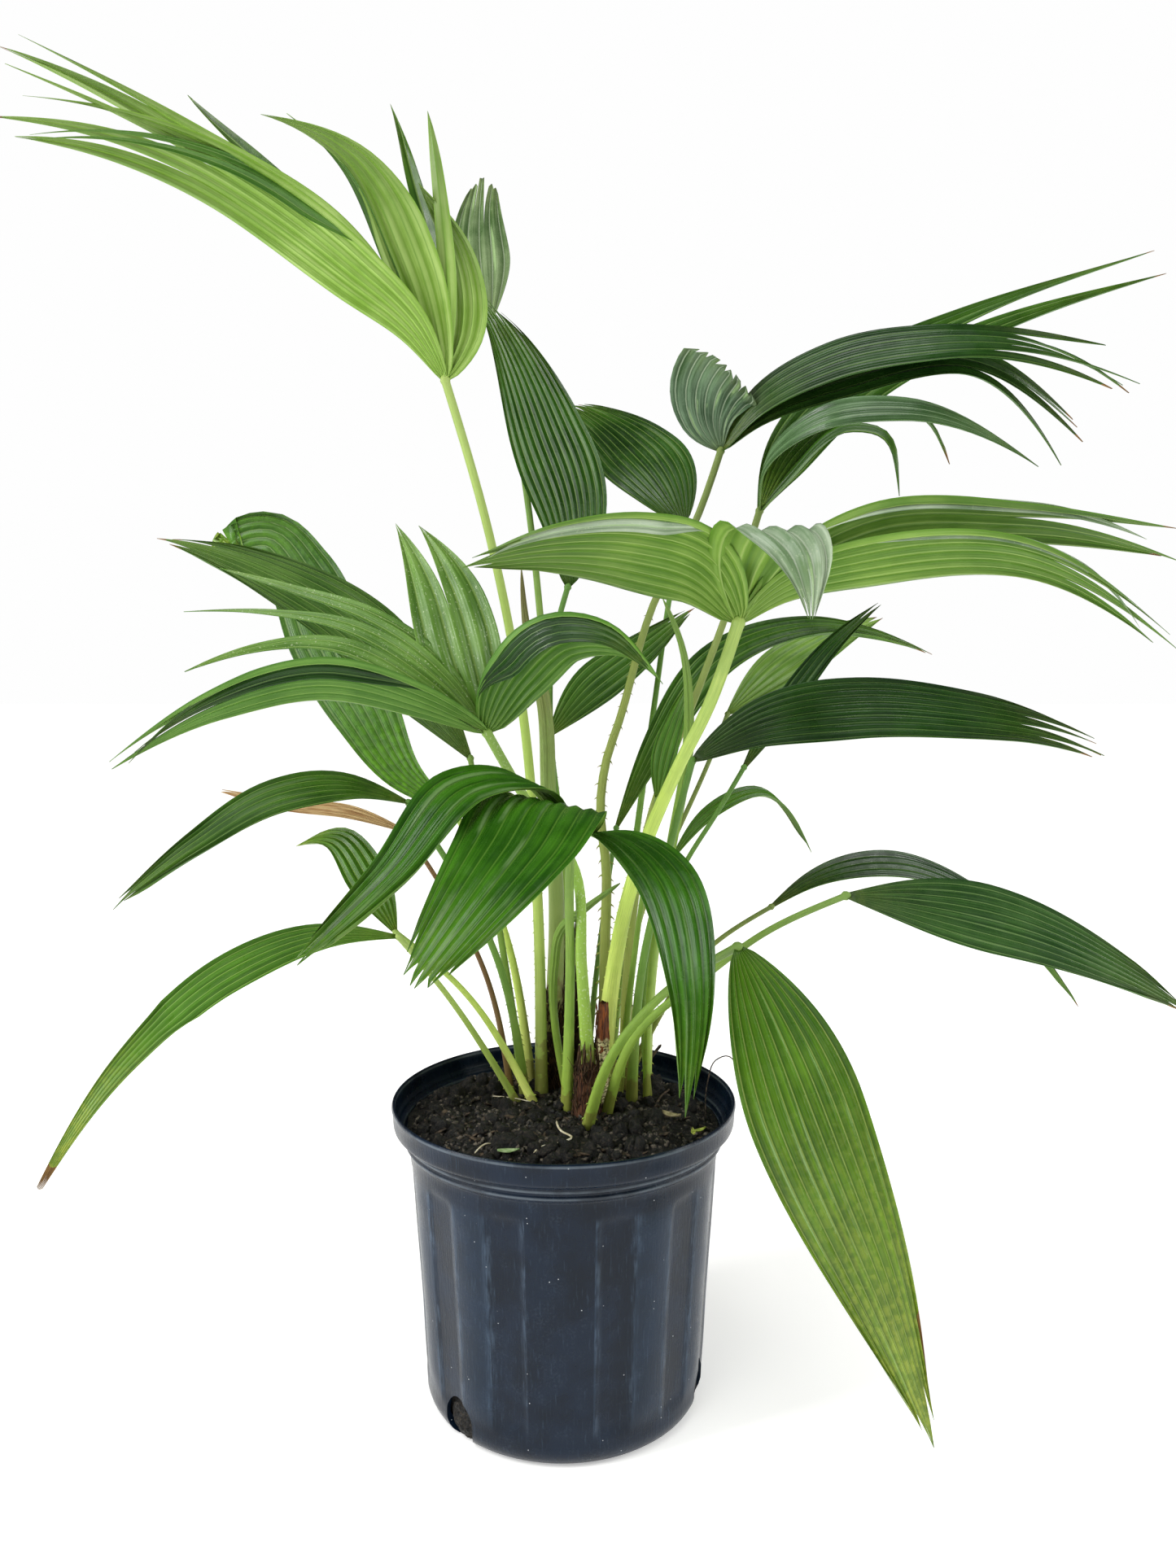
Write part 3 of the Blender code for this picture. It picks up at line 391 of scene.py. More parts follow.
def add(tree, kind, inputs=None, **settings):
    """Adds a node. Settings are its own properties, inputs are values or what feeds it. Gives its outputs."""
    made = tree.nodes.new(kind)
    for key, value in settings.items():
        setattr(made, key, value)
    for key, value in (inputs or {}).items():
        value = value.socket if isinstance(value, Value) else value
        if isinstance(value, bpy.types.NodeSocket):
            tree.links.new(value, made.inputs[key])
        else:
            made.inputs[key].default_value = value
    return made.outputs


class Value:
    """A number in a node tree. What is reckoned with it becomes Math nodes."""

    def __init__(self, socket):
        self.socket = socket

    def math(self, operation, *others, clamp=False):
        numbers = dict(enumerate((self, *others)))
        made = add(self.socket.id_data, "ShaderNodeMath", numbers, operation=operation, use_clamp=clamp)
        return Value(made[0])

    def __add__(self, other):
        return self.math("ADD", other)

    def __sub__(self, other):
        return self.math("SUBTRACT", other)

    def __mul__(self, other):
        return self.math("MULTIPLY", other)

    def __truediv__(self, other):
        return self.math("DIVIDE", other)

    def __abs__(self):
        return self.math("ABSOLUTE")

    def over(self, other):
        return self.math("GREATER_THAN", other)

    def fraction(self):
        return self.math("FRACT")

    def step(self, low, high, to_low=0.0, to_high=1.0):
        """Its place between low and high, as a smooth step."""
        inputs = {"Value": self, "From Min": low, "From Max": high, "To Min": to_low, "To Max": to_high}
        made = add(self.socket.id_data, "ShaderNodeMapRange", inputs, interpolation_type="SMOOTHSTEP")
        return Value(made[0])


class Finish:
    """A material in the making: its shader's sockets with even values, and the colour painted so far."""

    def __init__(self, name, **sockets):
        self.made = bpy.data.materials.new(name)
        self.made.use_nodes = True
        self.tree = self.made.node_tree
        self.shader = self.tree.nodes["Principled BSDF"].inputs
        self.place = add(self.tree, "ShaderNodeTexCoord")["Object"]
        for socket, value in sockets.items():
            self.shader[socket.replace("_", " ")].default_value = value

    def mark(self, name):
        """One of the piece's own attributes."""
        return Value(add(self.tree, "ShaderNodeAttribute", attribute_name=name)["Fac"])

    def point(self, x, y, z=0.0):
        return add(self.tree, "ShaderNodeCombineXYZ", {"X": x, "Y": y, "Z": z})[0]

    def drawn(self, share):
        """Object coordinates drawn out upright, so that grains become streaks."""
        return add(self.tree, "ShaderNodeMapping", {"Vector": self.place, "Scale": (1.0, 1.0, share)})[0]

    def axes(self):
        return [Value(socket) for socket in add(self.tree, "ShaderNodeSeparateXYZ", {0: self.place})]

    def scaled_grain(self, scale, place, detail=3.0, rough=0.55):
        inputs = {"Vector": place, "Scale": scale, "Detail": detail, "Roughness": rough}
        return Value(add(self.tree, "ShaderNodeTexNoise", inputs)["Fac"])

    def grain(self, size, detail=3.0, rough=0.55):
        """Noise with grains of a real size in metres."""
        return self.scaled_grain(1.0 / size, self.place, detail, rough)

    def mixed(self, share, first, second):
        """A colour between two, given as hex or as sockets."""
        colours = [to_linear(colour) if isinstance(colour, str) else colour for colour in (first, second)]
        return add(self.tree, "ShaderNodeMix", {0: share, 6: colours[0], 7: colours[1]}, data_type="RGBA")[2]

    def start(self, share, first, second):
        self.colour = self.mixed(share, first, second)

    def paint(self, share, colour):
        """Lays a share of a colour over what is painted so far."""
        self.colour = self.mixed(share, self.colour, colour)

    def done(self, roughness, height=None, relief=0.0):
        """The material, with its roughness and a height in metres times relief."""
        links = {"Base Color": self.colour, "Roughness": roughness.socket}
        if height is not None:
            bump = {"Height": height, "Distance": relief, "Strength": 1.0}
            links["Normal"] = add(self.tree, "ShaderNodeBump", bump)[0]
        for socket, value in links.items():
            self.tree.links.new(value, self.shader[socket])
        return self.made


def blade_finish(name, deep, light, sallow, rib, rough, rib_share=0.55, specks=0.0, ends=0.0, painted_sheen=0.15):
    """Living palm blade with a waxy cuticle, grown: fine lengthwise veins break its gloss into streaks.

    deep and light are the greens it wanders between, sallow the yellow that the blade's own
    attribute lets in at the base and tip, and rib the thin line along each costa. The green is
    deeper in the pleats' valleys as painted shade, and by the share ends towards the fingers' ends.
    painted_sheen is how far a painted highlight pales one flank of some pleats, in streaks.
    """
    f = Finish(name, Specular_IOR_Level=0.36, IOR=1.45)
    across, along = f.mark("across"), f.mark("along")
    lane = abs(across.fraction() - 0.5)
    streak = f.scaled_grain(3.1, f.point(across, along * 0.6))
    f.start((streak * 0.55 + f.grain(0.045) * 0.45).step(0.36, 0.64), deep, light)
    mottle = f.grain(0.006, 4.0).step(0.40, 0.62, 0.45, 1.0)
    f.paint(f.mark("sallow").math("MULTIPLY", mottle, clamp=True), sallow)
    if ends:
        f.paint(along.step(0.30, 0.85, 0.0, ends), END_GREEN)
    # Painted shade: deep green laid in the pleats' valleys, where the flanks shade each other
    underside = name.startswith("palm_underside")
    shade = (0.30, 0.5, 0.0, FOLD_SHADE) if underside else (0.0, 0.28, VALLEY_SHADE, 0.0)
    f.paint(lane.step(*shade), deep)
    f.paint(lane.step(0.015, 0.085, rib_share, 0.0), rib)
    # Painted sheen: pale highlight streaks on one flank of some pleats
    sheen_mask = f.scaled_grain(1.4, f.point(across, along * 2.2, 7.3)).step(0.50, 0.66, 0.0, painted_sheen)
    f.paint(sheen_mask * abs(across.fraction() - 0.30).step(0.05, 0.18, 1.0, 0.0), SHEEN_COLOUR)
    if specks:
        f.paint(f.grain(0.0016, 1.0).step(0.66, 0.72, 0.0, specks), "#c9d4ae")
    veins = (across * (TURN * 6.0)).math("SINE")
    height = (veins * 0.25 + streak * 0.9) * along.step(0.45, 0.85, 1.0, 0.15) + f.grain(0.006) * 0.9
    return f.done(f.grain(0.012).step(0.3, 0.7, rough - 0.06, rough + 0.10), height, 0.00016)


def dry_finish(name, pale, brown):
    """Dried blade tissue, shrunk and papery: matt, streaked lengthwise."""
    f = Finish(name, Specular_IOR_Level=0.3)
    streak = f.scaled_grain(6.0, f.point(f.mark("across"), f.mark("along")))
    f.start(streak.step(0.35, 0.65), pale, brown)
    return f.done(f.grain(0.004).step(0.3, 0.7, 0.6, 0.85), streak, 0.0004)


def stalk_finish(name, pale, green, top_green, shade, specks=0.0, foot=(0.07, 0.5, "#7a5a34")):
    """Living palm petiole, grown: pale and waxy at its foot, greener upwards, with fine lengthwise streaks.

    foot is the share of its height that old sheath covers, how far, and in which brown; this brown is also
    painted shade near the soil.
    """
    f = Finish(name, Specular_IOR_Level=0.45, IOR=1.45)
    rise = f.mark("along")
    streak = f.scaled_grain(7.0, f.point(f.mark("across"), rise * 2.0), 4.0)
    mottle = f.grain(0.012)
    wander = rise + (mottle - 0.5) * 0.25
    f.start(wander.step(0.02, 0.45), pale, green)
    f.paint(wander.step(0.45, 1.0), top_green)
    f.paint(streak.step(0.50, 0.72, 0.0, 0.45), pale)
    f.paint(streak.step(0.30, 0.48, 0.65, 0.0), shade)
    # Brown of old sheath at the foot, partly painted shade where the stalk meets the soil
    f.paint(wander.step(foot[0] * 0.6, foot[0], foot[1], 0.0), foot[2])
    if specks:
        f.paint(f.grain(0.0018, 1.0).step(0.60, 0.68, 0.0, specks), "#dfe6c4")
    return f.done(mottle.step(0.3, 0.7, 0.32, 0.50), streak, 0.0003)


def fibre_finish(name, dark, light):
    """Old palm leaf base, weathered to coarse woody fibres: matt, ridged lengthwise."""
    f = Finish(name, Specular_IOR_Level=0.25)
    strand = f.scaled_grain(900.0, f.drawn(0.12), 5.0)
    f.start(strand.step(0.38, 0.66), dark, light)
    f.paint(f.grain(0.010).step(0.45, 0.7, 0.0, 0.6), dark)
    return f.done(strand.step(0.3, 0.7, 0.75, 0.95), strand, 0.0012)


def papery_finish(name, dark, light, cream):
    """A cut leaf base, sheathed in brown paper at its top and worn to cream with dark rungs below."""
    f = Finish(name, Specular_IOR_Level=0.35)
    strand = f.scaled_grain(700.0, f.drawn(0.12), 4.0)
    wander = f.axes()[2] + f.grain(0.006) * 0.012
    f.start(strand.step(0.38, 0.66), dark, light)
    bared = f.mixed((wander * (1 / 0.0034)).fraction().step(0.10, 0.32), "#3a2214", cream)
    f.paint(wander.step(0.288, 0.294, 1.0, 0.0) * f.grain(0.007).step(0.36, 0.43), bared)
    return f.done(strand.step(0.3, 0.7, 0.45, 0.75), strand, 0.0006)


def pot_finish():
    """Blow-moulded polyethylene with a satin skin, handled and dusty: upright scuffs, pale specks, painted
    highlights.
    """
    f = Finish("polyethylene_blow_moulded", Specular_IOR_Level=0.21, IOR=1.51)
    cloud = f.grain(0.035)
    scuff = f.scaled_grain(700.0, f.drawn(0.08), 4.0)
    fine = f.grain(0.0016, 5.0)
    f.start(cloud.step(0.35, 0.65), "#071321", "#0d1c2e")
    f.paint(scuff.step(0.58, 0.74, 0.0, 0.22), "#44586c")
    f.paint(f.grain(0.018).step(0.45, 0.72) * fine.step(0.45, 0.75, 0.0, 0.15), "#566473")
    cells = add(f.tree, "ShaderNodeTexVoronoi", {"Vector": f.place, "Scale": 1 / 0.0075, "Randomness": 1.0})
    chosen = Value(add(f.tree, "ShaderNodeSeparateColor", {0: cells["Color"]})[0]).step(0.70, 0.72)
    f.paint(Value(cells["Distance"]).step(0.035, 0.075, 1.0, 0.0) * (chosen * 0.75), "#c8ccd0")
    x, y, z = f.axes()
    turned = ((y.math("ARCTAN2", x) + (math.pi / 2 + FRONT_PANEL / 2)) / TURN).fraction()
    panel = (turned * TURN - FRONT_PANEL) / PANEL
    sides = panel.over(-0.05) * (z.step(0.020, 0.034) * z.step(0.188, 0.196, 1.0, 0.0))
    # Pale edges of the panels: partly scuffed wear, partly painted highlight where the edges catch the windows
    wear_and_highlight = abs(panel.fraction() - 0.5).step(0.30, 0.50) * scuff.step(0.34, 0.66, 0.1, 1.0)
    f.paint(wear_and_highlight * f.grain(0.030).step(0.40, 0.60, 0.25, 1.0) * sides * 0.36, "#5a6d82")
    # Painted light: every other panel, the bulging ones, is painted a little lighter for the light it catches
    f.paint((panel * 0.5).fraction().over(0.5) * sides * 0.12, "#3f566f")
    # Pale patchy lines along the lip's rings: partly scuffed wear, partly painted highlight
    for ring in (0.2117, 0.2172, 0.2215, 0.2392):
        f.paint(abs(z - ring).step(0.0003, 0.0014, 0.42, 0.0) * cloud.step(0.35, 0.60, 0.3, 1.0), "#7c8790")
    return f.done(cloud.step(0.3, 0.7, 0.22, 0.32), fine * 0.5 + scuff, 0.00022)


def soil_finish(name, dark, light, size, relief, most=0.66):
    """Damp potting mix of peat and composted bark: near black, crumbly and matt, with browner crumbs."""
    f = Finish(name, Specular_IOR_Level=0.5)
    crumb = f.grain(size, 6.0, 0.7)
    f.start(crumb.step(0.47, most), dark, light)
    f.paint(f.grain(size * 4).step(0.5, 0.72, 0.0, 0.5), dark)
    return f.done(crumb.step(0.35, 0.65, 0.42, 0.90), crumb, relief)


def plain_mottled(name, first, second, size, rough, relief):
    """Dead plant bits on the soil: matt, in two close tones."""
    f = Finish(name, Specular_IOR_Level=0.3)
    cloud = f.grain(size, 4.0)
    f.start(cloud.step(0.38, 0.62), first, second)
    return f.done(cloud.step(0.3, 0.7, rough - 0.08, rough + 0.08), cloud, relief)


def placed(name, data):
    """A new object in the scene."""
    made = bpy.data.objects.new(name, data)
    bpy.context.scene.collection.objects.link(made)
    return made


def evaluated(thing):
    """A new mesh of an object with its modifiers applied."""
    bpy.context.view_layer.update()
    return bpy.data.meshes.new_from_object(thing.evaluated_get(bpy.context.evaluated_depsgraph_get()))


def smooth(mesh):
    mesh.polygons.foreach_set("use_smooth", np.ones(len(mesh.polygons), bool))


def new_piece(name, vertices, faces, finishes, slot, stands_for=None, which=None, marks=None, corners=None):
    """One finished piece riding on the plant: a mesh with its materials, point attributes and UV map."""
    mesh = bpy.data.meshes.new(name)
    mesh.from_pydata(np.asarray(vertices).tolist(), [], [list(map(int, face)) for face in faces])
    for finish in finishes:
        mesh.materials.append(finish)
    if which is not None:
        mesh.polygons.foreach_set("material_index", np.asarray(which, np.int32))
    smooth(mesh)
    for mark, values in (marks or {}).items():
        mesh.attributes.new(mark, "FLOAT", "POINT").data.foreach_set("value", np.asarray(values, np.float32))
    if corners is not None:
        mesh.uv_layers.new(name="OFBake").data.foreach_set("uv", np.asarray(corners, np.float32).ravel())
    mesh.update()
    piece = placed(name, mesh)
    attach(piece, "root")
    if stands_for:
        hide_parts(stands_for)
    return piece


def half_widths(piece, root, shares):
    """A lobe's half width at shares of its length: it swells to its belly, then tapers."""
    belly = piece["belly"]
    swell = np.sin(math.pi / 2 * np.minimum(shares / belly, 1.0)) ** piece["full"]
    past = np.clip((shares - belly) / (1 - belly), 0.0, 1.0)
    swell = np.where(shares < belly, swell, 1 - (1 - piece["open"]) * past**1.6)
    return root + (MM * piece["wide"] - root) * swell


def lobe_surface(path, ways, sideways, root, piece, shares, lines):
    """Points, upward normals and sideways ways of a lobe's smooth surface, before it is pleated.

    Lines run from -1 to 1 over the lobe. Past that they are on a flap, which folds down over the underside.
    """
    inside = np.clip(lines, -1.0, 1.0)
    past = np.abs(lines) - np.abs(inside)
    place = shares[:, None] * (1 - OUTER_SHORTER * inside**2)
    points = at_shares(path, place)
    way = at_shares(ways, place)
    way /= np.linalg.norm(way, axis=2, keepdims=True)
    side = sideways - way * (way @ sideways)[..., None]
    side /= np.linalg.norm(side, axis=2, keepdims=True)
    face = np.cross(way, side)
    reach = half_widths(piece, root, shares)[:, None, None]
    points = points + reach * (inside[..., None] * side)
    degrees, low, high = piece["flap"][2:]
    past = past * (0.02 + 0.98 * smooth_between(shares, low, high))[:, None]
    fold = math.radians(degrees) * (past > 0)[..., None]
    outward = np.sign(lines)[..., None] * side
    points += reach * past[..., None] * (np.cos(fold) * outward - np.sin(fold) * face)
    normals = np.cos(fold) * face + np.sin(fold) * outward
    side = np.cos(fold) * side - np.sin(fold) * np.sign(lines)[..., None] * face
    return points, normals / np.linalg.norm(normals, axis=2, keepdims=True), side


def finger_pleats(lines, shares, fingers, split, pleats, leaf, blunt, dice):
    """Each finger's pleats as (number, lines of every row): they draw together past the finger's forks."""
    forks = [min(0.97, max(0.25, split + dice.uniform(-0.04, 0.06))) for _ in range(fingers + 1)]
    edges = [round(pleats * finger / fingers) for finger in range(fingers + 1)]
    made = []
    for first, last, before, after in zip(edges, edges[1:], forks, forks[1:]):
        low, high = lines(first), lines(last)
        middle = (low + high) / 2
        bundle = []
        for pleat in range(first, last):
            own = lines(pleat + ACROSS)[None, :]
            costa = lines(pleat + 0.5)
            tooth = dice.uniform(0.91, 0.97)
            if last - first > 1:
                end = np.clip((shares - tooth) / (1 - tooth), 0, 1)
                power = 5.0 if blunt > 0.8 else 1.4
                own = costa + (own - costa) * (1 - leaf["teeth"] * end**power)[:, None]
            fork = before + (after - before) * (own - low) / (high - low)
            gone = np.clip((shares[:, None] - fork) / (1 - fork), 0, 1)
            bundle.append((pleat, middle + (own - middle) * (1 - (1 - blunt) * gone ** leaf["taper"])))
        made.append((bundle, middle, max(before, after)))
    return made


def lobe_sheet(hastula, root, piece, leaf, dice):
    """A lobe as one pleated sheet that parts into tapering fingers, with a flap where it has one."""
    places = np.array([hastula / MM, *piece["places"]])
    places[-1] += unit(places[-1] - places[-2]) * piece["reach"]
    path = smooth_route(places)
    path += np.sin(math.pi * np.linspace(0, 1, len(path)))[:, None] * (MM * np.array(piece["move"], float))
    ways = ways_along(path)
    sideways = unit(piece["sideways"] or np.cross(heading(*piece["face"]), unit(path[-1] - path[0])))
    length = run_length(path)
    rows = int(min(52, max(14, length / ROW_LENGTH)))
    shares = np.linspace(0, 1, rows + 1)
    pleats = piece["pleats"]
    rest = (leaf, piece["blunt"], dice)
    fingers = (piece["fingers"], piece["split"], pleats)
    bundles = finger_pleats(lambda at: at * 2.0 / pleats - 1.0, shares, *fingers, *rest)
    bundles = [(*bundle, False) for bundle in bundles]
    flap, flap_split, _, flap_start, _ = piece["flap"]
    if flap:
        upward = math.copysign(1.0, flap * (sideways - ways[48] * (ways[48] @ sideways))[2])
        flap = abs(flap)
        fingers = (flap, flap_split, flap)
        more = finger_pleats(lambda at: upward * (1.0001 + at * 2.0 / pleats), shares, *fingers, *rest)
        for bundle, *others in more:
            bundles.append(([(pleats + pleat, lines) for pleat, lines in bundle], *others, True))
    slope = piece["slope"] * (PLEAT_SLOPE + BASE_PLEAT_SLOPE * np.exp(-shares / 0.15))
    sallow = leaf["base"] * np.exp(-shares / leaf["base_reach"])
    sallow += leaf["tip"] * np.clip((shares - leaf["ripe"]) / (1 - leaf["ripe"]), 0, 1) ** 1.5
    burnt, burnt_from, burnt_to = piece["burnt"]
    grids = []
    for bundle, middle, parted, folded in bundles:
        finger = length * (1 - parted)
        shorter = dice.uniform(0.0, leaf["shorter"])
        droop = dice.uniform(0.0, leaf["droop"]) * finger
        drift = dice.uniform(-1, 1) * leaf["drift"] * finger + piece["fan"] * middle * finger
        if folded and piece["crossing"]:
            drift = upward * piece["crossing"] * finger * dice.uniform(0.8, 1.2)
        twist = dice.uniform(-1, 1) * leaf["twist"]
        dry = dice.uniform(*leaf["dry"])
        reached = np.where(shares > parted, parted + (shares - parted) * (1 - shorter), shares)
        free = np.clip((shares - parted) / (1 - parted), 0, 1)[:, None, None]
        surface = (path, ways, sideways, root, piece, reached)
        spine_line, _, _ = lobe_surface(*surface, np.full((rows + 1, 1), middle))
        first = int(np.searchsorted(shares, flap_start)) if folded else 0
        for pleat, lines in bundle:
            points, normals, side = lobe_surface(*surface, lines)
            if folded:
                points -= normals * 0.0003
            span = np.linalg.norm(points[:, -1] - points[:, 0], axis=1)
            points -= normals * (SAG * (span * slope / 2)[:, None])[..., None]
            off = points - spine_line
            flat, tall = (off * side).sum(2, keepdims=True), (off * normals).sum(2, keepdims=True)
            turn = twist * free
            points += side * (flat * (np.cos(turn) - 1) - tall * np.sin(turn))
            points += normals * (flat * np.sin(turn) + tall * (np.cos(turn) - 1))
            points += free**2 * (side * drift - np.array([0.0, 0.0, 1.0]) * droop)
            brown = shares[:-1] > 1 - dry
            if pleat == burnt:
                brown |= (shares[:-1] > burnt_from) & (shares[:-1] < burnt_to)
            wide = points.shape[:2]
            grid = {
                "points": points, "normals": normals, "across": np.broadcast_to(pleat + ACROSS, wide),
                "along": np.broadcast_to(shares[:, None], wide),
                "sallow": np.broadcast_to(np.clip(sallow, 0, 1)[:, None], wide),
                "brown": np.repeat(brown[:, None], len(ACROSS) - 1, axis=1),
            }
            grid = {key: value[first:] for key, value in grid.items()}
            grid["outward"] = not folded or upward > 0
            grid["folded"] = np.full(grid["brown"].size, folded or piece["other"])
            grids.append(grid)
    return grids, pleats + flap, length


def grid_quads(rows, columns):
    """Corner numbers of a grid's quads, facing along rows x columns."""
    first = (np.arange(rows - 1)[:, None] * columns + np.arange(columns - 1)[None, :]).ravel()
    return np.stack([first, first + columns, first + columns + 1, first + 1], axis=1)


def open_edges(quads):
    """The edges that only one quad has, each with that quad's number."""
    directed = {(int(quad[i]), int(quad[(i + 1) % 4])): n for n, quad in enumerate(quads) for i in range(4)}
    return [(a, b, n) for (a, b), n in directed.items() if (b, a) not in directed and a != b]


def build_blade(name, leaf, finishes, dice):
    """A whole frond: every lobe a thin two-sided sheet with its own upper and under finish."""
    route = standing_route(leaf["stalk"])
    narrow = MM * leaf["radii"][1]
    hastula = route[-1] + unit(route[-1] - route[-3]) * narrow * 0.9
    lobes = [(piece, *lobe_sheet(hastula, narrow * 0.7, piece, leaf, dice)) for piece in leaf["lobes"]]
    tallest = max(length for *_, length in lobes)
    room = sum(piece["wide"] * strips / piece["pleats"] for piece, _, strips, _ in lobes) * 2.06
    kinds = ("points", "normals", "across", "along", "sallow", "quads", "brown", "folded", "uv")
    parts = {kind: [] for kind in kinds}
    count = 0
    start = 0.0
    for number, (piece, grids, strips, length) in enumerate(lobes):
        for grid in grids:
            rows, columns = grid["points"].shape[:2]
            across, along = grid["across"].ravel(), grid["along"].ravel()
            left = start + across / piece["pleats"] * piece["wide"]
            quads = grid_quads(rows, columns) + count
            for key, value in (
                ("points", grid["points"].reshape(-1, 3)), ("normals", grid["normals"].reshape(-1, 3)),
                ("across", across + 17.0 * number), ("along", along), ("sallow", grid["sallow"].ravel()),
                ("uv", np.stack([left / room, 0.005 + 0.99 * along * length / tallest], axis=1)),
                ("quads", quads if grid["outward"] else quads[:, ::-1]), ("brown", grid["brown"].ravel()),
                ("folded", grid["folded"]),
            ):
                parts[key].append(value)
            count += rows * columns
        start += piece["wide"] * strips / piece["pleats"] * 1.03
    joined = {key: np.concatenate(value) for key, value in parts.items()}
    keys = np.round(joined["points"] / 1e-7).astype(np.int64)
    _, kept, merged = np.unique(keys, axis=0, return_index=True, return_inverse=True)
    merged = merged.ravel()
    quads = merged[joined["quads"]]
    half = joined["normals"][kept] * SHEET / 2
    middle = joined["points"][kept]
    edges = open_edges(quads)
    rim = np.array([(b, a, a + len(kept), b + len(kept)) for a, b, _ in edges])
    dried = joined["brown"]
    turned = 3 if len(finishes) > 3 else 0
    which = np.concatenate([
        np.where(dried, 2, np.where(joined["folded"], turned, 0)), np.where(dried, 2, 1),
        np.where(dried[[n for _, _, n in edges]], 2, 1),
    ])
    under = np.array([0.5, 0.0])
    upper_map = joined["uv"][joined["quads"]]
    place = dict(zip(merged.tolist(), joined["uv"].tolist()))
    rim_map = np.array([[place[b], place[a], place[a], place[b]] for a, b, _ in edges])
    return new_piece(
        "blade_" + name, np.concatenate([middle + half, middle - half]),
        np.concatenate([quads, quads[:, ::-1] + len(kept), rim]), finishes,
        "dead_leaf" if name == "left_dead" else "blade", "frond_" + name, which,
        {key: np.tile(joined[key][kept], 2) for key in ("across", "along", "sallow")},
        np.concatenate([upper_map, upper_map[:, ::-1] + under, rim_map + under]),
    )


def turns(sides):
    return [TURN * turn / sides for turn in range(sides)]


def rings_round(route, ways, radii, around, side):
    """Rings of points along a route. around gives a ring's shape as (angle, share of the radius) pairs."""
    rings = []
    for index, centre in enumerate(route):
        side = unit(side - ways[index] * (side @ ways[index]))
        other = np.cross(ways[index], side)
        shape = [math.cos(a) * side * r + math.sin(a) * other * r for a, r in around]
        rings.append(centre + radii[index] * np.array(shape))
    return np.array(rings)


def tube_faces(rings, sides):
    """Quads and end caps of a tube of rings, facing outwards."""
    faces = []
    for low in range(0, (rings - 1) * sides, sides):
        for turn in range(sides):
            after = (turn + 1) % sides
            faces.append((low + turn, low + after, low + sides + after, low + sides + turn))
    return [*faces, tuple(range(sides))[::-1], tuple(range((rings - 1) * sides, rings * sides))]


def gather(bits):
    """Several vertex and face lists as one."""
    faces = []
    count = 0
    for points, corners in bits:
        faces += [tuple(corner + count for corner in face) for face in corners]
        count += len(points)
    return np.concatenate([points for points, _ in bits]), faces


def spine(root, outward, length, thickness):
    """A petiole's thorn: a small hook of two three-sided rings and a tip."""
    way = unit(outward)
    bend = unit(np.cross(way, [0.0, 0.0, 1.0]))
    up = np.cross(bend, way)
    points = []
    for share, radius in ((-0.15, 1.0), (0.45, 0.55)):
        centre = root + way * length * share - up * length * 0.18 * max(share, 0) ** 2
        for a in (0, 2.1, 4.2):
            points.append(centre + (up * math.cos(a) + bend * math.sin(a)) * thickness * radius)
    points.append(root + way * length - up * length * 0.30)
    faces = [(2, 1, 0), (0, 1, 4, 3), (1, 2, 5, 4), (2, 0, 3, 5), (3, 4, 6), (4, 5, 6), (5, 3, 6)]
    return np.array(points), faces


def build_stalk(name, leaf, finishes, dice):
    """A petiole: rounded below, grooved above, swollen at its foot, with thorns along both margins."""
    route = standing_route(leaf["stalk"])
    ahead = unit(route[-1] - route[-3])
    wide, narrow = (MM * radius for radius in leaf["radii"])
    length = run_length(route)
    shares = np.linspace(0, 1, 34)
    points, ways = points_and_ways(route, shares)
    radii = leaf["girth"] * (narrow + (wide - narrow) * (1 - shares) ** 2.0)
    radii *= 1 + leaf["foot"] * np.exp(-shares * length / 0.030)
    sunk = 0.008 if leaf["stalk"][0][2] == 0 else 0.022
    neck = [points[-1] + ahead * narrow * share for share in (0.8, 1.5, 2.0)]
    points = np.vstack([points[0] - ways[0] * sunk, points, *neck])
    ways = np.vstack([ways[0], ways, ahead, ahead, ahead])
    radii = np.concatenate([[radii[0]], radii, [narrow * 1.05, narrow * 0.80, narrow * 0.30]])
    sides = 12
    groove = [
        (a, 1.0 - 0.26 * max(0.0, math.cos(a)) ** 3 + 0.07 * abs(math.sin(a)) ** 3) for a in turns(sides)
    ]
    rings = rings_round(points, ways, radii, groove, heading(*leaf["lobes"][0]["face"]))
    bits = [(rings.reshape(-1, 3), tube_faces(len(rings), sides))]
    which = [0] * len(bits[0][1])
    along = [np.repeat([0.0, *shares, 1.0, 1.0, 1.0], sides)]
    reach = leaf["thorns"]
    gap = 0.010
    for margin in (3, 9):
        place = 0.03 * length + dice.uniform(0, gap)
        while place < reach * length:
            share = place / length
            row = 1 + share * (len(shares) - 1)
            low = int(row)
            root = rings[low, margin] + (rings[low + 1, margin] - rings[low, margin]) * (row - low)
            outward = unit(root - (points[low] + (points[low + 1] - points[low]) * (row - low)))
            size = leaf["thorn"] * MM * (1.15 - 0.75 * share / reach) * dice.uniform(0.7, 1.2)
            bits.append(spine(root, outward - ways[low] * dice.uniform(0.3, 0.8), size, size * 0.24))
            which += [0, 0, 0, 0, 1, 1, 1]
            along.append(np.full(7, share))
            place += gap * dice.uniform(0.8, 1.6)
    across = np.tile(np.abs(np.arange(sides) - sides / 2), len(rings))
    across = np.concatenate([across, np.zeros(7 * (len(bits) - 1))])
    marks = {"along": np.concatenate(along), "across": across}
    slot = "dead_leaf" if name == "left_dead" else "stalk"
    return new_piece("petiole_" + name, *gather(bits), finishes, slot, "stalk_" + name, which, marks)


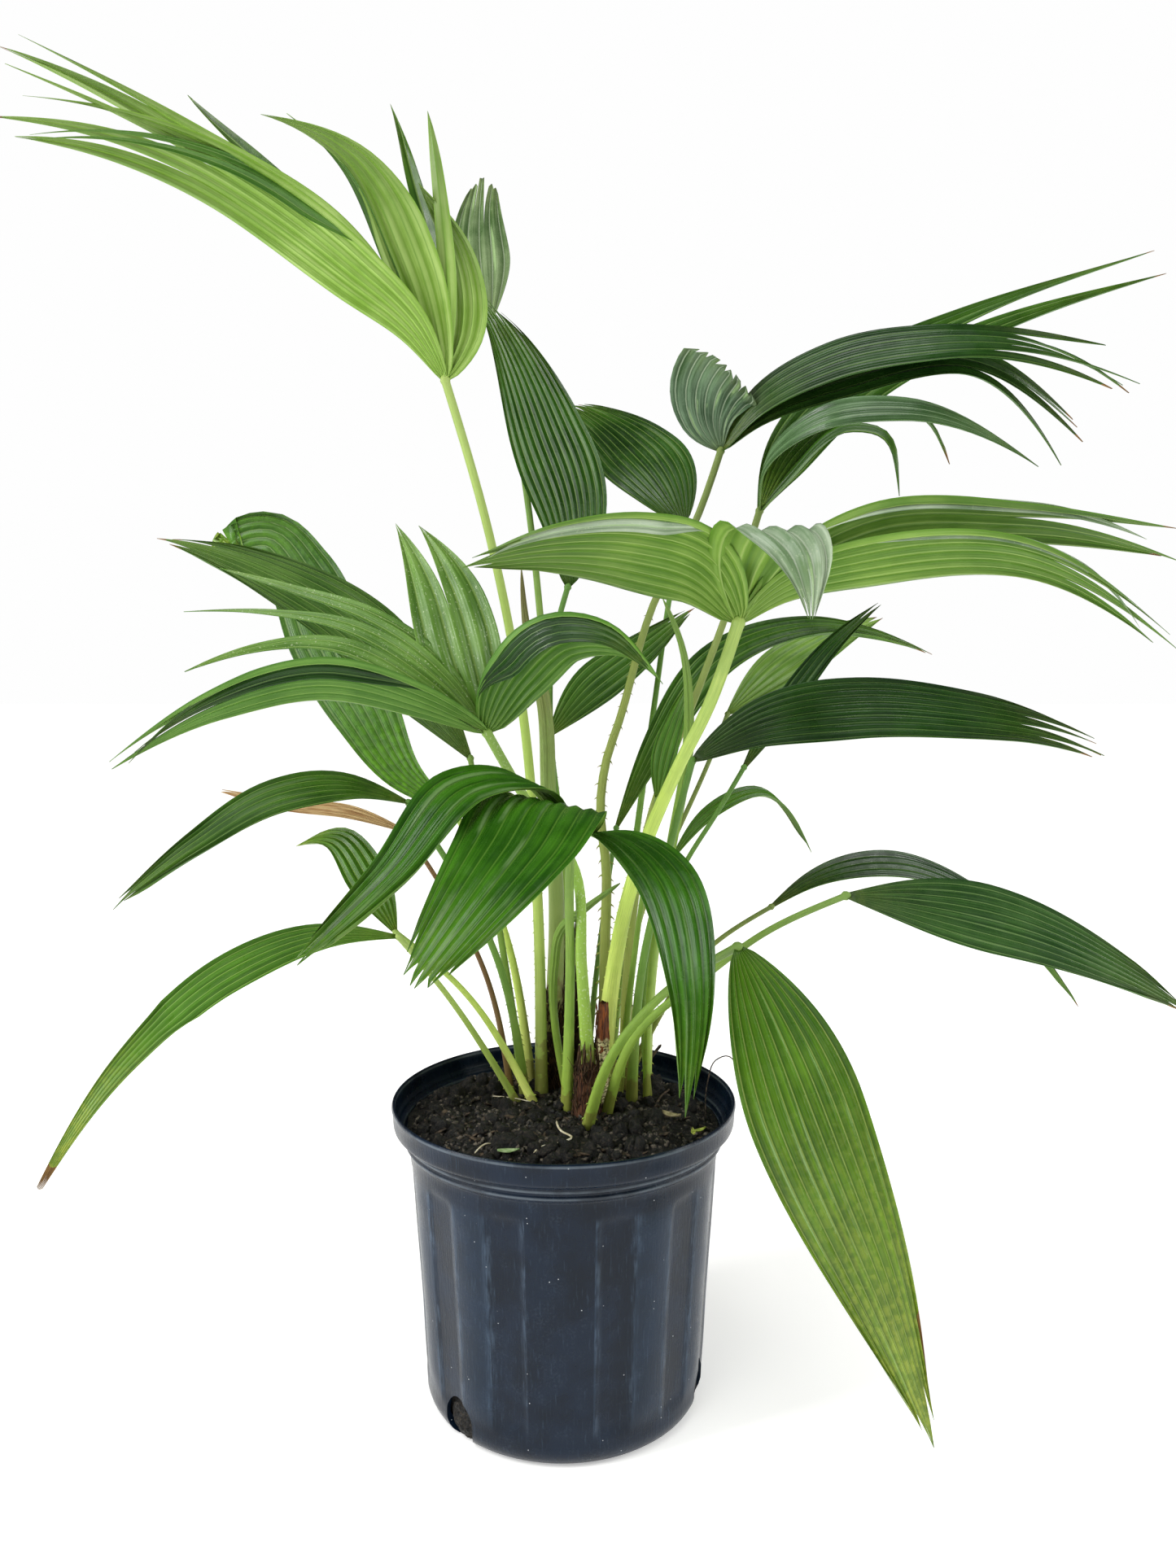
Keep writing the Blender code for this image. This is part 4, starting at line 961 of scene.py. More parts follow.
def strand(points, radius, sides=3):
    """A thin fibre along points, pointed at both ends."""
    points = np.array(points)
    radii = radius * np.array([0.3, *[1.0] * (len(points) - 2), 0.3])
    shape = [(angle, 1.0) for angle in turns(sides)]
    rings = rings_round(points, ways_along(points), radii, shape, np.array([0.31, 0.87, 0.38]))
    return rings.reshape(-1, 3), tube_faces(len(points), sides)


def torn_fringe(foot, top, radius, dice):
    """Torn sheath fibres that hug the stalk above an old stem's top, and a few that stand off."""
    up = unit(top - foot)
    bits = []
    for number in range(60):
        loose = number % 6 == 0
        angle = dice.uniform(0, TURN)
        below = dice.uniform(0.0, 0.060 if loose else 0.014)
        length = dice.uniform(0.006, 0.018 if loose else 0.024)
        lean = dice.uniform(-0.9, 0.9)
        points = []
        for share in np.linspace(0, 1, 6):
            out = radius + 0.55 * length * share**1.3 if loose else radius * (1.04 - 0.26 * share)
            points.append(top + up * (length * share - below) + round_z(angle + lean * share, out))
        bits.append(strand(points, dice.uniform(0.0002, 0.0004) if loose else dice.uniform(0.0004, 0.0009)))
    return bits


def build_stem(name, stem, finishes, dice, fibres, ragged, closing):
    """An old stem: a lumpy core of leaf bases wrapped in crossing sheath fibres."""
    foot, top, (wide, narrow) = stem
    foot = np.array([*(MM * np.array(foot, float)), SOIL_TOP - 0.006])
    top = MM * np.array(top, float) + np.array([0, 0, 0.002])
    shares = np.linspace(0, 1, 40)
    axis = foot + (top - foot) * shares[:, None]
    radii = MM * (wide + (narrow - wide) * shares)
    radii *= 1 - closing * smooth_between(shares, 0.80, 1.0)
    sides = 28
    rings = []
    for row, (centre, radius) in enumerate(zip(axis, radii)):
        height = centre[2]
        for angle in turns(sides):
            lump = noise_round(angle, 1.6, height * 60 + radius * 900)
            ridge = 0.06 * math.sin(angle * 7 + height * 160)
            sheath = 0.10 * ((height * 55 + angle / TURN) % 1.0)
            last = row == len(axis) - 1
            lift = ragged * noise.noise(Vector((angle * 2.1, 4.0, radius * 700))) if last else 0.0
            rings.append(centre + round_z(angle, radius * (0.94 + 0.16 * lump + ridge + sheath), lift))
    bits = [(np.array(rings), tube_faces(len(axis), sides))]
    for _ in range(fibres):
        low = dice.uniform(0.02, 0.80)
        high = min(1.0, low + dice.uniform(0.15, 0.45))
        angle = dice.uniform(0, TURN)
        twist = dice.choice((-1, 1)) * dice.uniform(0.6, 2.6) * (high - low)
        loose = dice.uniform(0.0, 0.0022)
        points = []
        for share in np.linspace(0, 1, 10):
            at = low + (high - low) * share
            radius = MM * (wide + (narrow - wide) * at) * 1.06
            radius += loose * share**2 + 0.0004 * math.sin(share * 9 + angle * 5)
            points.append(foot + (top - foot) * at + round_z(angle + twist * share, radius))
        bits.append(strand(points, dice.uniform(0.00025, 0.00055)))
    if name != "stub_brown":
        bits += torn_fringe(foot, top, radii[-8], random.Random(name))
    vertices, faces = gather(bits)
    core = len(bits[0][1])
    which = [0] * core + [1] * (len(faces) - core)
    return new_piece("old_" + name, vertices, faces, finishes, "stem", name, which)


def build_spear(name, radii, places, finish):
    """A leaf still folded shut: pleats pressed together like a closed umbrella, narrowing to a point at the
    tip.
    """
    shares = np.linspace(0, 1, 46)
    points, ways = points_and_ways(standing_route(places), shares)
    foot, belly, tip = radii
    radii = MM * np.interp([0.0, *shares], [0, 0.72, 0.97, 1], [foot, belly, tip * 1.6, 0.4])
    points = np.vstack([points[0] - ways[0] * (0.008 if places[0][2] == 0 else 0.02), points])
    ways = np.vstack([ways[0], ways])
    rise = np.array([0.0, *shares])
    sides = 32
    rings = []
    side = np.array([0.37, 0.93, 0.0])
    for index, centre in enumerate(points):
        side = unit(side - ways[index] * (side @ ways[index]))
        other = np.cross(ways[index], side)
        pleated = 0.17 * float(np.clip((rise[index] - 0.30) / 0.25, 0, 1))
        for turn, angle in enumerate(turns(sides)):
            out = radii[index] * (1 + pleated * (abs(((turn % 4) - 2) / 2) - 0.5) * 2)
            rings.append(centre + out * (math.cos(angle) * side + math.sin(angle) * other * 0.86))
    across = np.tile(np.abs(np.arange(sides) - sides / 2), len(points))
    marks = {"along": np.repeat(rise, sides), "across": across}
    faces = tube_faces(len(points), sides)
    return new_piece("folded_" + name, rings, faces, [finish], "stalk", name, None, marks)


# The pot's outer and inner profile as (radius, height), with fine rings under the lip
POT_OUTSIDE = [
    (0.0980, 0.0000), (0.1030, 0.0012), (0.1062, 0.0040), (0.1085, 0.0080), (0.1100, 0.0130),
    (0.1104, 0.0240), (0.1108, 0.0280), (0.1112, 0.0350), (0.1132, 0.0800), (0.1175, 0.1500),
    (0.1202, 0.1900), (0.1206, 0.1960), (0.1208, 0.2020), (0.1209, 0.2062), (0.1218, 0.2080),
    (0.1240, 0.2096), (0.1250, 0.2112), (0.1250, 0.2126), (0.1242, 0.2136), (0.1244, 0.2150),
    (0.1258, 0.2162), (0.1262, 0.2176), (0.1256, 0.2190), (0.1262, 0.2202), (0.1290, 0.2216),
    (0.1318, 0.2228), (0.1333, 0.2244), (0.1338, 0.2262), (0.1345, 0.2370), (0.1350, 0.2385),
    (0.1349, 0.2398), (0.1342, 0.2410),
]
POT_INSIDE = [
    (0.1330, 0.2410), (0.1324, 0.2402), (0.1319, 0.2350), (0.1316, 0.2290), (0.1308, 0.2276),
    (0.1296, 0.2268), (0.1291, 0.2258), (0.1289, 0.2240), (0.1276, 0.2230), (0.1262, 0.2226),
    (0.1256, 0.2216), (0.1254, 0.2196), (0.1240, 0.2184), (0.1228, 0.2150), (0.1196, 0.2080),
    (0.1168, 0.1920), (0.1064, 0.0160), (0.0998, 0.0030),
]
# The soil's side, up from the pot's floor
SOIL_SIDE = [
    (0.0972, 0.0034), (0.1040, 0.0120), (0.1052, 0.0200), (0.1060, 0.0400), (0.1150, 0.1900),
    (0.1184, 0.2075), (0.1224, 0.2165),
]

# What is strewn on the soil: the bit, its margin from the edge, roughness, proportions, levels and finish,
# the number per square metre, smallest and largest size, tilt and seed
STREWN = {
    "soil_crumbs": ("crumb", 0.0, 0.35, (1.0, 0.8, 0.7), 1, "crumb", 30000.0, 0.0007, 0.0040, 3.1, 3),
    "soil_clods": ("clod", 0.008, 0.13, (1.0, 0.85, 0.6), 3, "soil", 420.0, 0.0060, 0.0115, 3.1, 4),
    "soil_lumps": ("lump", 0.003, 0.28, (1.0, 0.85, 0.7), 2, "soil", 4600.0, 0.0026, 0.0078, 3.1, 8),
    "bark_chips": ("chip", 0.006, 0.22, (1.0, 0.30, 0.14), 2, "bark_chip", 5200.0, 0.0022, 0.0095, 0.55, 5),
    "pale_grit": ("grit", 0.004, 0.30, (1.0, 0.8, 0.75), 1, "perlite", 1500.0, 0.0004, 0.0011, 3.1, 9),
}


def noise_round(angle, reach, height):
    """Noise at a point round the Z axis."""
    return noise.noise(Vector((math.cos(angle) * reach, math.sin(angle) * reach, height)))


def pressed_in(angle, height):
    """How deep the pot's panels are pressed in: every other one is scooped, and the rest bulge a little."""
    turned = (angle + math.pi / 2 + FRONT_PANEL / 2) % TURN
    if turned < FRONT_PANEL:
        return 0.0
    number, share = divmod((turned - FRONT_PANEL) / PANEL, 1.0)
    if number % 2:
        shown = smooth_between(height, FLUTE_FOOT, FLUTE_FOOT + 0.02)
        hidden = smooth_between(height, FLUTE_HEAD - 0.02, FLUTE_HEAD)
        return -BULGE * math.sin(math.pi * share) * shown * (1 - hidden)
    edge = min(share, 1 - share)
    arch = 0.006 * (1 - min(1.0, edge * 5)) ** 2
    soft = FLUTE_DEPTH * 0.55 * smooth_between(edge, 0.01, 0.10) + SCOOP * math.sin(math.pi * share)
    return soft * smooth_between(height, FLUTE_FOOT, FLUTE_FOOT + 0.006) * (
        1 - smooth_between(height, FLUTE_HEAD - 0.007 - arch, FLUTE_HEAD - arch)
    )


def drain_angles():
    return [FIRST_DRAIN_ANGLE + turn for turn in turns(DRAIN_HOLES)]


def build_pot(finish):
    """The pot: a blow-moulded wall with panels, two rings under its rolled lip and three oval drain holes."""
    columns = 336
    outer = [POT_OUTSIDE[0]]
    for (r0, z0), (r1, z1) in zip(POT_OUTSIDE, POT_OUTSIDE[1:]):
        steps = max(1, round(abs(z1 - z0) / 0.004))
        outer += [(r0 + (r1 - r0) * s / steps, z0 + (z1 - z0) * s / steps) for s in range(1, steps + 1)]
    vertices = []
    for radius, height in outer:
        for angle in turns(columns):
            out = radius - pressed_in(angle, height)
            if 0.03 < height < 0.20:
                out += 0.00035 * noise_round(angle, 3, height * 18)
            vertices.append(round_z(angle, out, height))
    vertices += [round_z(angle, radius, height) for radius, height in POT_INSIDE for angle in turns(columns)]
    faces = tube_faces(len(outer) + len(POT_INSIDE), columns)
    pot = new_piece("pot_wall", vertices, faces, [finish], "pot_plastic", "pot")
    tools = []
    for angle in drain_angles():
        cutter = bmesh.new()
        bmesh.ops.create_cone(cutter, cap_ends=True, segments=40, radius1=1.0, radius2=1.0, depth=0.026)
        mesh = bpy.data.meshes.new("drain_cutter")
        cutter.to_mesh(mesh)
        cutter.free()
        tool = placed("drain_cutter", mesh)
        tool.scale = (DRAIN_HALF_HEIGHT, DRAIN_HALF_WIDTH, 1.0)
        tool.rotation_euler = (0.0, math.pi / 2, angle)
        tool.location = round_z(angle, BASE_RADIUS - 0.002, DRAIN_HEIGHT)
        tools.append(tool)
        cut = pot.modifiers.new("drain", "BOOLEAN")
        cut.operation = "DIFFERENCE"
        cut.object = tool
        cut.solver = "MANIFOLD"
    pot.data = evaluated(pot)
    pot.modifiers.clear()
    for tool in tools:
        bpy.data.objects.remove(tool)
    smooth(pot.data)
    whole = bmesh.new()
    whole.from_mesh(pot.data)
    for edge in whole.edges:
        edge.smooth = len(edge.link_faces) != 2 or edge.calc_face_angle(0.0) < math.radians(50.0)
    whole.to_mesh(pot.data)
    whole.free()


def soil_height(x, y):
    """The soil's top: it mounds a little round the clump and is lumpy all over."""
    radius = math.hypot(x, y)
    mound = smooth_between(radius, SOIL_FLAT_RADIUS - 0.006, BODY_TOP_RADIUS + 0.001)
    banked = 0.0055 * max(0.0, -x / max(radius, 0.001))
    height = SOIL_TOP + (SOIL_EDGE - 0.001 + banked - SOIL_TOP) * mound
    lumps = 0.0
    for size, tall in ((0.034, 0.0030), (0.014, 0.0042), (0.006, 0.0026)):
        lumps += tall * noise.noise(Vector((x / size, y / size, size * 900)))
    return height + lumps * (1 - 0.35 * mound) - 0.0006


def soil_rings(radii, columns, under=0.0):
    """Rings of points on the soil's top, or a little under it."""
    points = []
    for radius in radii:
        for angle in turns(columns):
            x, y, _ = round_z(angle, radius)
            points.append((x, y, soil_height(x, y) - under))
    return points


def build_soil(finish):
    """The potting mix that fills the pot, as one closed lump, rough where the drain holes bare it."""
    columns = 200
    vertices = []
    for radius, height in SOIL_SIDE:
        for angle in turns(columns):
            rough = 0.0016 * noise_round(angle, 26, height * 240)
            vertices.append(round_z(angle, radius - 0.0009 + min(rough, 0.0005), height))
    tops = np.linspace(0.1228, 0.0012, 76)
    faces = tube_faces(len(SOIL_SIDE) + len(tops), columns)
    new_piece("soil_body", [*vertices, *soil_rings(tops, columns)], faces, [finish], "soil", "soil")


def build_drain_soil(finish):
    """The soil that shows in the drain holes, almost flush with the wall."""
    bits = []
    for angle in drain_angles():
        outward = round_z(angle)
        along = np.array([-math.sin(angle), math.cos(angle), 0.0])
        ball = bmesh.new()
        bmesh.ops.create_icosphere(ball, subdivisions=5, radius=1.0)
        points = []
        for vertex in ball.verts:
            lumps = 0.0022 * noise.noise(vertex.co * 3.2) + 0.0022 * noise.noise(vertex.co * 8.0)
            deep = 0.0048 * vertex.co.x - 0.0020 * max(0.0, -vertex.co.z) ** 2 + min(lumps, 0.0012)
            point = outward * (0.1022 + deep) + along * (DRAIN_HALF_WIDTH - 0.0008) * vertex.co.y
            points.append(point + np.array([0.0, 0.0, DRAIN_HEIGHT + 0.0008 + 0.0170 * vertex.co.z]))
        bits.append((np.array(points), [[corner.index for corner in face.verts] for face in ball.faces]))
        ball.free()
    vertices, faces = gather(bits)
    vertices[:, 2] = np.maximum(vertices[:, 2], 0.0012)
    new_piece("drain_soil", vertices, faces, [finish], "soil")


def lump_mesh(name, rough, stretch, dice, levels):
    """A small crumb or chip to be strewn: a ball pushed in and out."""
    made = bmesh.new()
    bmesh.ops.create_icosphere(made, subdivisions=levels, radius=1.0)
    for vertex in made.verts:
        vertex.co *= 1 + dice.uniform(-rough, rough)
        vertex.co = Vector(vertex.co[axis] * stretch[axis] for axis in range(3))
    mesh = bpy.data.meshes.new(name)
    made.to_mesh(mesh)
    made.free()
    smooth(mesh)
    return placed(name, mesh)


def strewing_tree():
    """Geometry Nodes that strew a bit over a surface, turned and sized at random, as real geometry."""
    tree = bpy.data.node_groups.new("strewn_bits", "GeometryNodeTree")
    kinds = {
        "Surface": "Geometry", "Bit": "Object", "Per square metre": "Float", "Smallest": "Float",
        "Largest": "Float", "Tilt": "Float", "Seed": "Int", "Finish": "Material",
    }
    for name, kind in kinds.items():
        tree.interface.new_socket(name=name, in_out="INPUT", socket_type="NodeSocket" + kind)
    tree.interface.new_socket(name="Geometry", in_out="OUTPUT", socket_type="NodeSocketGeometry")
    given = add(tree, "NodeGroupInput")
    tilt, seed = given["Tilt"], {"Seed": given["Seed"]}
    spread = {"Mesh": given["Surface"], "Density": given["Per square metre"], **seed}
    points = add(tree, "GeometryNodeDistributePointsOnFaces", spread, distribute_method="RANDOM")["Points"]
    bit = add(tree, "GeometryNodeObjectInfo", {"Object": given["Bit"], "As Instance": True})["Geometry"]
    back = Value(tilt) * -1.0
    low = add(tree, "ShaderNodeCombineXYZ", {"X": back, "Y": back, "Z": 0.0})[0]
    high = add(tree, "ShaderNodeCombineXYZ", {"X": tilt, "Y": tilt, "Z": TURN})[0]
    turn = add(tree, "FunctionNodeRandomValue", {0: low, 1: high, **seed}, data_type="FLOAT_VECTOR")[0]
    sizes = {2: given["Smallest"], 3: given["Largest"], **seed}
    size = add(tree, "FunctionNodeRandomValue", sizes, data_type="FLOAT")[1]
    each = {"Points": points, "Instance": bit, "Rotation": turn, "Scale": size}
    strewn = add(tree, "GeometryNodeInstanceOnPoints", each)[0]
    real = add(tree, "GeometryNodeRealizeInstances", {0: strewn})[0]
    painted = add(tree, "GeometryNodeSetMaterial", {0: real, "Material": given["Finish"]})[0]
    add(tree, "NodeGroupOutput", {0: painted})
    return tree


def strewing_surface(reach):
    """The soil's top as a helper sheet for strewing, out to a radius."""
    columns, rings = 72, 26
    faces = []
    for low in range(0, (rings - 1) * columns, columns):
        for column in range(columns):
            after = (column + 1) % columns
            faces.append((low + column, low + columns + column, low + columns + after, low + after))
    mesh = bpy.data.meshes.new("soil_top")
    mesh.from_pydata(soil_rings(np.linspace(0.002, reach, rings), columns, 0.0004), [], faces)
    mesh.update()
    return mesh


def strew(tree, name, surface, bit, finish, **values):
    """One piece of bits strewn over a surface, riding on the plant."""
    holder = placed(name + "_helper", surface)
    tool = holder.modifiers.new("strewn", "NODES")
    tool.node_group = tree
    sockets = {item.name: item.identifier for item in tree.interface.items_tree if item.in_out == "INPUT"}
    for key, value in {"Bit": bit, "Finish": finish, **values}.items():
        tool[sockets[key.replace("_", " ")]] = value
    mesh = evaluated(holder)
    mesh.name = name
    if not mesh.materials:
        mesh.materials.append(finish)
    bpy.data.objects.remove(holder)
    bpy.data.objects.remove(bit)
    piece = placed(name, mesh)
    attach(piece, "root")


def cup(centre, turn, long, wide, curl):
    """A small curled leaf or husk lying on the soil, as a closed sheet, in millimetres and radians."""
    points = []
    for row in range(9):
        for column in range(5):
            share, across = row / 8, column / 2 - 1
            breadth = wide * math.sin(math.pi * min(0.97, share + 0.06)) ** 0.7
            x, y = (share - 0.5) * 2 * long, across * breadth
            points.append((
                MM * (centre[0] + x * math.cos(turn) - y * math.sin(turn)),
                MM * (centre[1] + x * math.sin(turn) + y * math.cos(turn)),
                MM * (centre[2] + curl * (across**2 + (2 * share - 1) ** 2)),
            ))
    top = np.array(points)
    quads = grid_quads(9, 5)[:, ::-1]
    rim = sorted((b, a, a + len(top), b + len(top)) for a, b, _ in open_edges(quads))
    return np.concatenate([top, top - np.array([0, 0, 0.0004])]), [*quads, *(quads[:, ::-1] + len(top)), *rim]


def threads(sides, *routes):
    """Roots or stalks lying on the soil, each as its radius and its places, with heights above the soil."""
    bits = []
    for radius, *places in routes:
        path = smooth_route([(x, y, SOIL_TOP / MM + above) for x, y, above in places], 22)
        bits.append(strand(path, radius, sides))
    return gather(bits)


def build_litter(finishes):
    """What lies on the soil: a fallen leaf bit, a bleached root, a husk, a sprig and a few dry stalks."""
    rest = SOIL_TOP / MM
    roots = threads(
        5,
        (0.0008, (-5, -39, 3), (-1, -59, 3), (7, -72, 3), (-3, -80, 2), (-15, -84, 1), (-20, -92, 0)),
        (0.0005, (-58, 16, 2), (-34, 3, 4), (-20, -2, 2)),
        (0.0006, (-63, -86, -3), (-56, -79, 1), (-50, -74, -1)),
    )
    stalks = threads(
        6,
        (0.0005, (112, -6, -8), (114, 4, 18), (121, 5, 36), (130, 5, 39), (136, 5, 34)),
        (0.0014, (62, 70, -2), (71, 78, 10), (82, 86, 22)),
        (0.0009, (86, 34, 1), (78, 16, 2), (72, -2, 0)),
        (0.0011, (-70, 40, -1), (-52, 52, 2), (-38, 58, 0)),
    )
    leaf_bit = cup((-38, -93, rest + 1.5), 0.15, 8.0, 3.6, 0.9)
    husk = cup((83, -30, rest + 3.0), -0.5, 8.0, 3.4, 1.8)
    sprig = gather([
        cup((103, -47, rest - 2.0), 0.6, 6.5, 2.2, 1.2), cup((98, -52, rest - 1.5), 1.6, 6.0, 1.8, 1.4),
    ])
    new_piece("bleached_roots", *roots, [finishes["root"]], "dead_leaf")
    new_piece("dry_stalks", *stalks, [finishes["bark_chip"]], "dead_leaf")
    new_piece("fallen_leaf_bit", *leaf_bit, [finishes["leaf_bit"]], "blade")
    new_piece("seed_husk", *husk, [finishes["husk"]], "dead_leaf")
    new_piece("sprig", *sprig, [finishes["sprig"]], "blade")


# Living blades: the name, two greens, the yellow of the ends, the rib, roughness, how much rib shows,
# specks, green at the ends and painted sheen
BLADES = {
    "dark": ("palm_blade_dark", "#12300b", "#284c18", SALLOW, "#66893f", 0.30),
    "dusky": ("palm_blade_dusky", "#1d3c16", "#3c5e2c", SALLOW, "#7d9c5c", 0.28, 0.55, 0.0, 0.0, 0.3),
    "deep": ("palm_blade_deep", "#24480d", "#40691b", SALLOW, "#86a850", 0.30),
    "broad": ("palm_blade_broad", "#34581d", "#5a7c38", SALLOW, "#8fae60", 0.30),
    "deep_ribbed": ("palm_blade_ribbed", "#173807", "#305a13", SALLOW, "#93b55e", 0.24, 0.6, 0.0, 0.0, 0.22),
    "mid": ("palm_blade_mid", "#1b4607", "#3a6d16", SALLOW, "#6d953a", 0.22, 0.3, 0.0, 0.0, 0.28),
    "mid_specked": ("palm_blade_mealy", "#42691c", "#6a8f40", SALLOW, "#a0bc68", 0.34, 0.4, 0.4),
    "grey": ("palm_blade_grey", "#445f33", "#7c9066", SALLOW, "#b4c2a2", 0.24, 0.55, 0.0, 0.0, 0.6),
    "folded": ("palm_blade_fold", "#35601c", "#5a8636", SALLOW, "#86a85a", 0.30),
    "grey_green": ("palm_blade_grey_green", "#2f4a2c", "#6c8768", SALLOW, "#b0c0a2", 0.24, 0.6, 0.0, 0.0, 0.5),
    "slate": ("palm_blade_slate", "#2e4a26", "#5c7a52", SALLOW, "#9ab488", 0.26, 0.5, 0.0, 0.0, 0.4),
    "vivid": ("palm_blade_vivid", "#2b4a22", "#4a6c2e", "#66a412", "#86a35c", 0.28, 0.5, 0.0, 0.0, 0.0),
    # glossy: real gloss, with greens paled to grey-white as a painted sheen, the reflection off the upper face
    "glossy": ("palm_blade_glossy", "#6a8560", "#bccbb2", SALLOW, "#d4dec6", 0.14, 0.35, 0.25, 0.2, 0.6),
    "leafy": ("palm_blade_leafy", "#35600f", "#50801f", SALLOW, "#98b959", 0.33, 0.55, 0.0, 0.0, 0.06),
    "light_upper": ("palm_blade_light", "#527d2a", "#7c9f45", SALLOW, "#b0c878", 0.35),
    "sallow": ("palm_blade_mottled", "#2b540c", "#527d1c", "#b6c04a", "#b3c468", 0.22, 0.45, 0.0, 0.0, 0.5),
    # lit: the underside's paler green, brightened further as a painted glow of light shining through the blade
    "lit": ("palm_underside_lit_glow_painted", "#7aa434", "#adcb70", "#c6d272", "#658f2f", 0.42, 0.6, 0.0, 0.55, 0.0),
    "light": ("palm_underside_light", "#578223", "#84a847", "#b4c464", "#adc672", 0.42, 0.5, 0.0, 0.6, 0.1),
    "soft": ("palm_underside_soft", "#41701a", "#649038", "#9cae4c", "#93b35c", 0.42, 0.5),
    "dull": ("palm_underside_dull", "#335c1b", "#4e7a2c", SALLOW, "#88aa60", 0.46, 0.5),
}

# Stalks: the name, pale foot, green, green at the top, shade, specks and the sheathed foot, partly painted
# shade
STALKS = {
    "mid": ("palm_petiole_green", "#a4c44e", "#7fa23c", "#6f8f40", "#557a2a"),
    "sheathed": (
        "palm_petiole_sheathed", "#8fae4a", "#7b9a44", "#54802f", "#4f5c24", 0.0, (0.16, 0.95, "#241a10")
    ),
    "deep": ("palm_petiole_deep", "#8fae4a", "#65902f", "#54802f", "#3f6420"),
    "olive": ("palm_petiole_olive", "#a2ac54", "#8a9a48", "#6f8440", "#6b5c34"),
    "lime": ("palm_petiole_lime", "#f0fc88", "#c8e266", "#a0bc60", "#86a840"),
    "pale": ("palm_petiole_pale", "#c2d86c", "#a6c25a", "#a4bc66", "#7f9c40"),
    "specked": ("palm_petiole_mealy", "#a0c44a", "#94bc4a", "#84a84a", "#6f9838", 0.35),
    "dead": ("palm_petiole_dead", "#94784a", "#7c5c34", "#7f5f38", "#5e4428"),
    "spear": ("palm_spear_leaf", "#9fb060", "#8aa356", "#6b6434", "#6a8040"),
}


def make_finishes():
    """Every finish of the plant and its pot, by name."""
    return {
        **{key: blade_finish(*values) for key, values in BLADES.items()},
        **{"stalk_" + key: stalk_finish(*values) for key, values in STALKS.items()},
        "straw": dry_finish("dried_blade", "#c2a878", "#8a6238"),
        "scorched": dry_finish("scorched_tip", "#9a7a44", "#5e3f22"),
        "thorn": plain_mottled("palm_thorn", "#6b4a26", "#8f6b3a", 0.002, 0.5, 0.0001),
        "core": fibre_finish("palm_leaf_base_old", "#1d150e", "#4a3622"),
        "front_core": fibre_finish("palm_leaf_base_red", "#2a1810", "#714a34"),
        "sheath": papery_finish("palm_sheath_papery", "#4a2412", "#9a5428", "#e0d6a2"),
        "fibre": fibre_finish("palm_sheath_fibre", "#2c2015", "#6e543a"),
        "soil": soil_finish("potting_mix", "#050504", "#463f36", 0.0030, 0.0032),
        "crumb": soil_finish("potting_crumbs", "#060504", "#70675b", 0.0042, 0.0014, 0.60),
        "bark_chip": plain_mottled("composted_bark", "#1b1612", "#574a3c", 0.004, 0.85, 0.0008),
        "perlite": plain_mottled("pale_grit", "#8b8577", "#c2bcae", 0.003, 0.85, 0.0004),
        "leaf_bit": plain_mottled("fallen_leaf", "#7f9a62", "#a5b98a", 0.004, 0.6, 0.0003),
        "root": plain_mottled("bleached_root", "#c4b896", "#e2dac2", 0.004, 0.6, 0.0001),
        "husk": plain_mottled("seed_husk", "#8a7d5c", "#b5a982", 0.003, 0.7, 0.0004),
        "sprig": plain_mottled("yellow_sprig", "#93a443", "#c2c866", 0.003, 0.6, 0.0003),
        "pot": pot_finish(),
    }


def stage_floor():
    """A plain pale floor, larger than any view of the plant."""
    mesh = bpy.data.meshes.new("floor")
    corners = [(x * FLOOR_REACH, y * FLOOR_REACH, -0.0006) for x, y in ((-1, -1), (1, -1), (1, 1), (-1, 1))]
    mesh.from_pydata(corners, [], [(0, 1, 2, 3)])
    f = Finish("pale_floor", Specular_IOR_Level=0.2, Emission_Strength=0.36)
    cloud = f.grain(0.6)
    f.start(cloud, "#f4f4f2", "#f8f8f6")
    mesh.materials.append(f.done(cloud.step(0, 1, 0.8, 0.9)))
    placed("floor", mesh)


def softbox(name, place, size, power):
    """A light like a window, aimed at the plant's middle."""
    light = bpy.data.lights.new(name, "AREA")
    light.shape = "RECTANGLE"
    light.size, light.size_y = size
    light.energy = power
    lamp = placed(name, light)
    lamp.location = place
    lamp.rotation_euler = (Vector((0, 0, 0.5)) - Vector(place)).to_track_quat("-Z", "Y").to_euler()


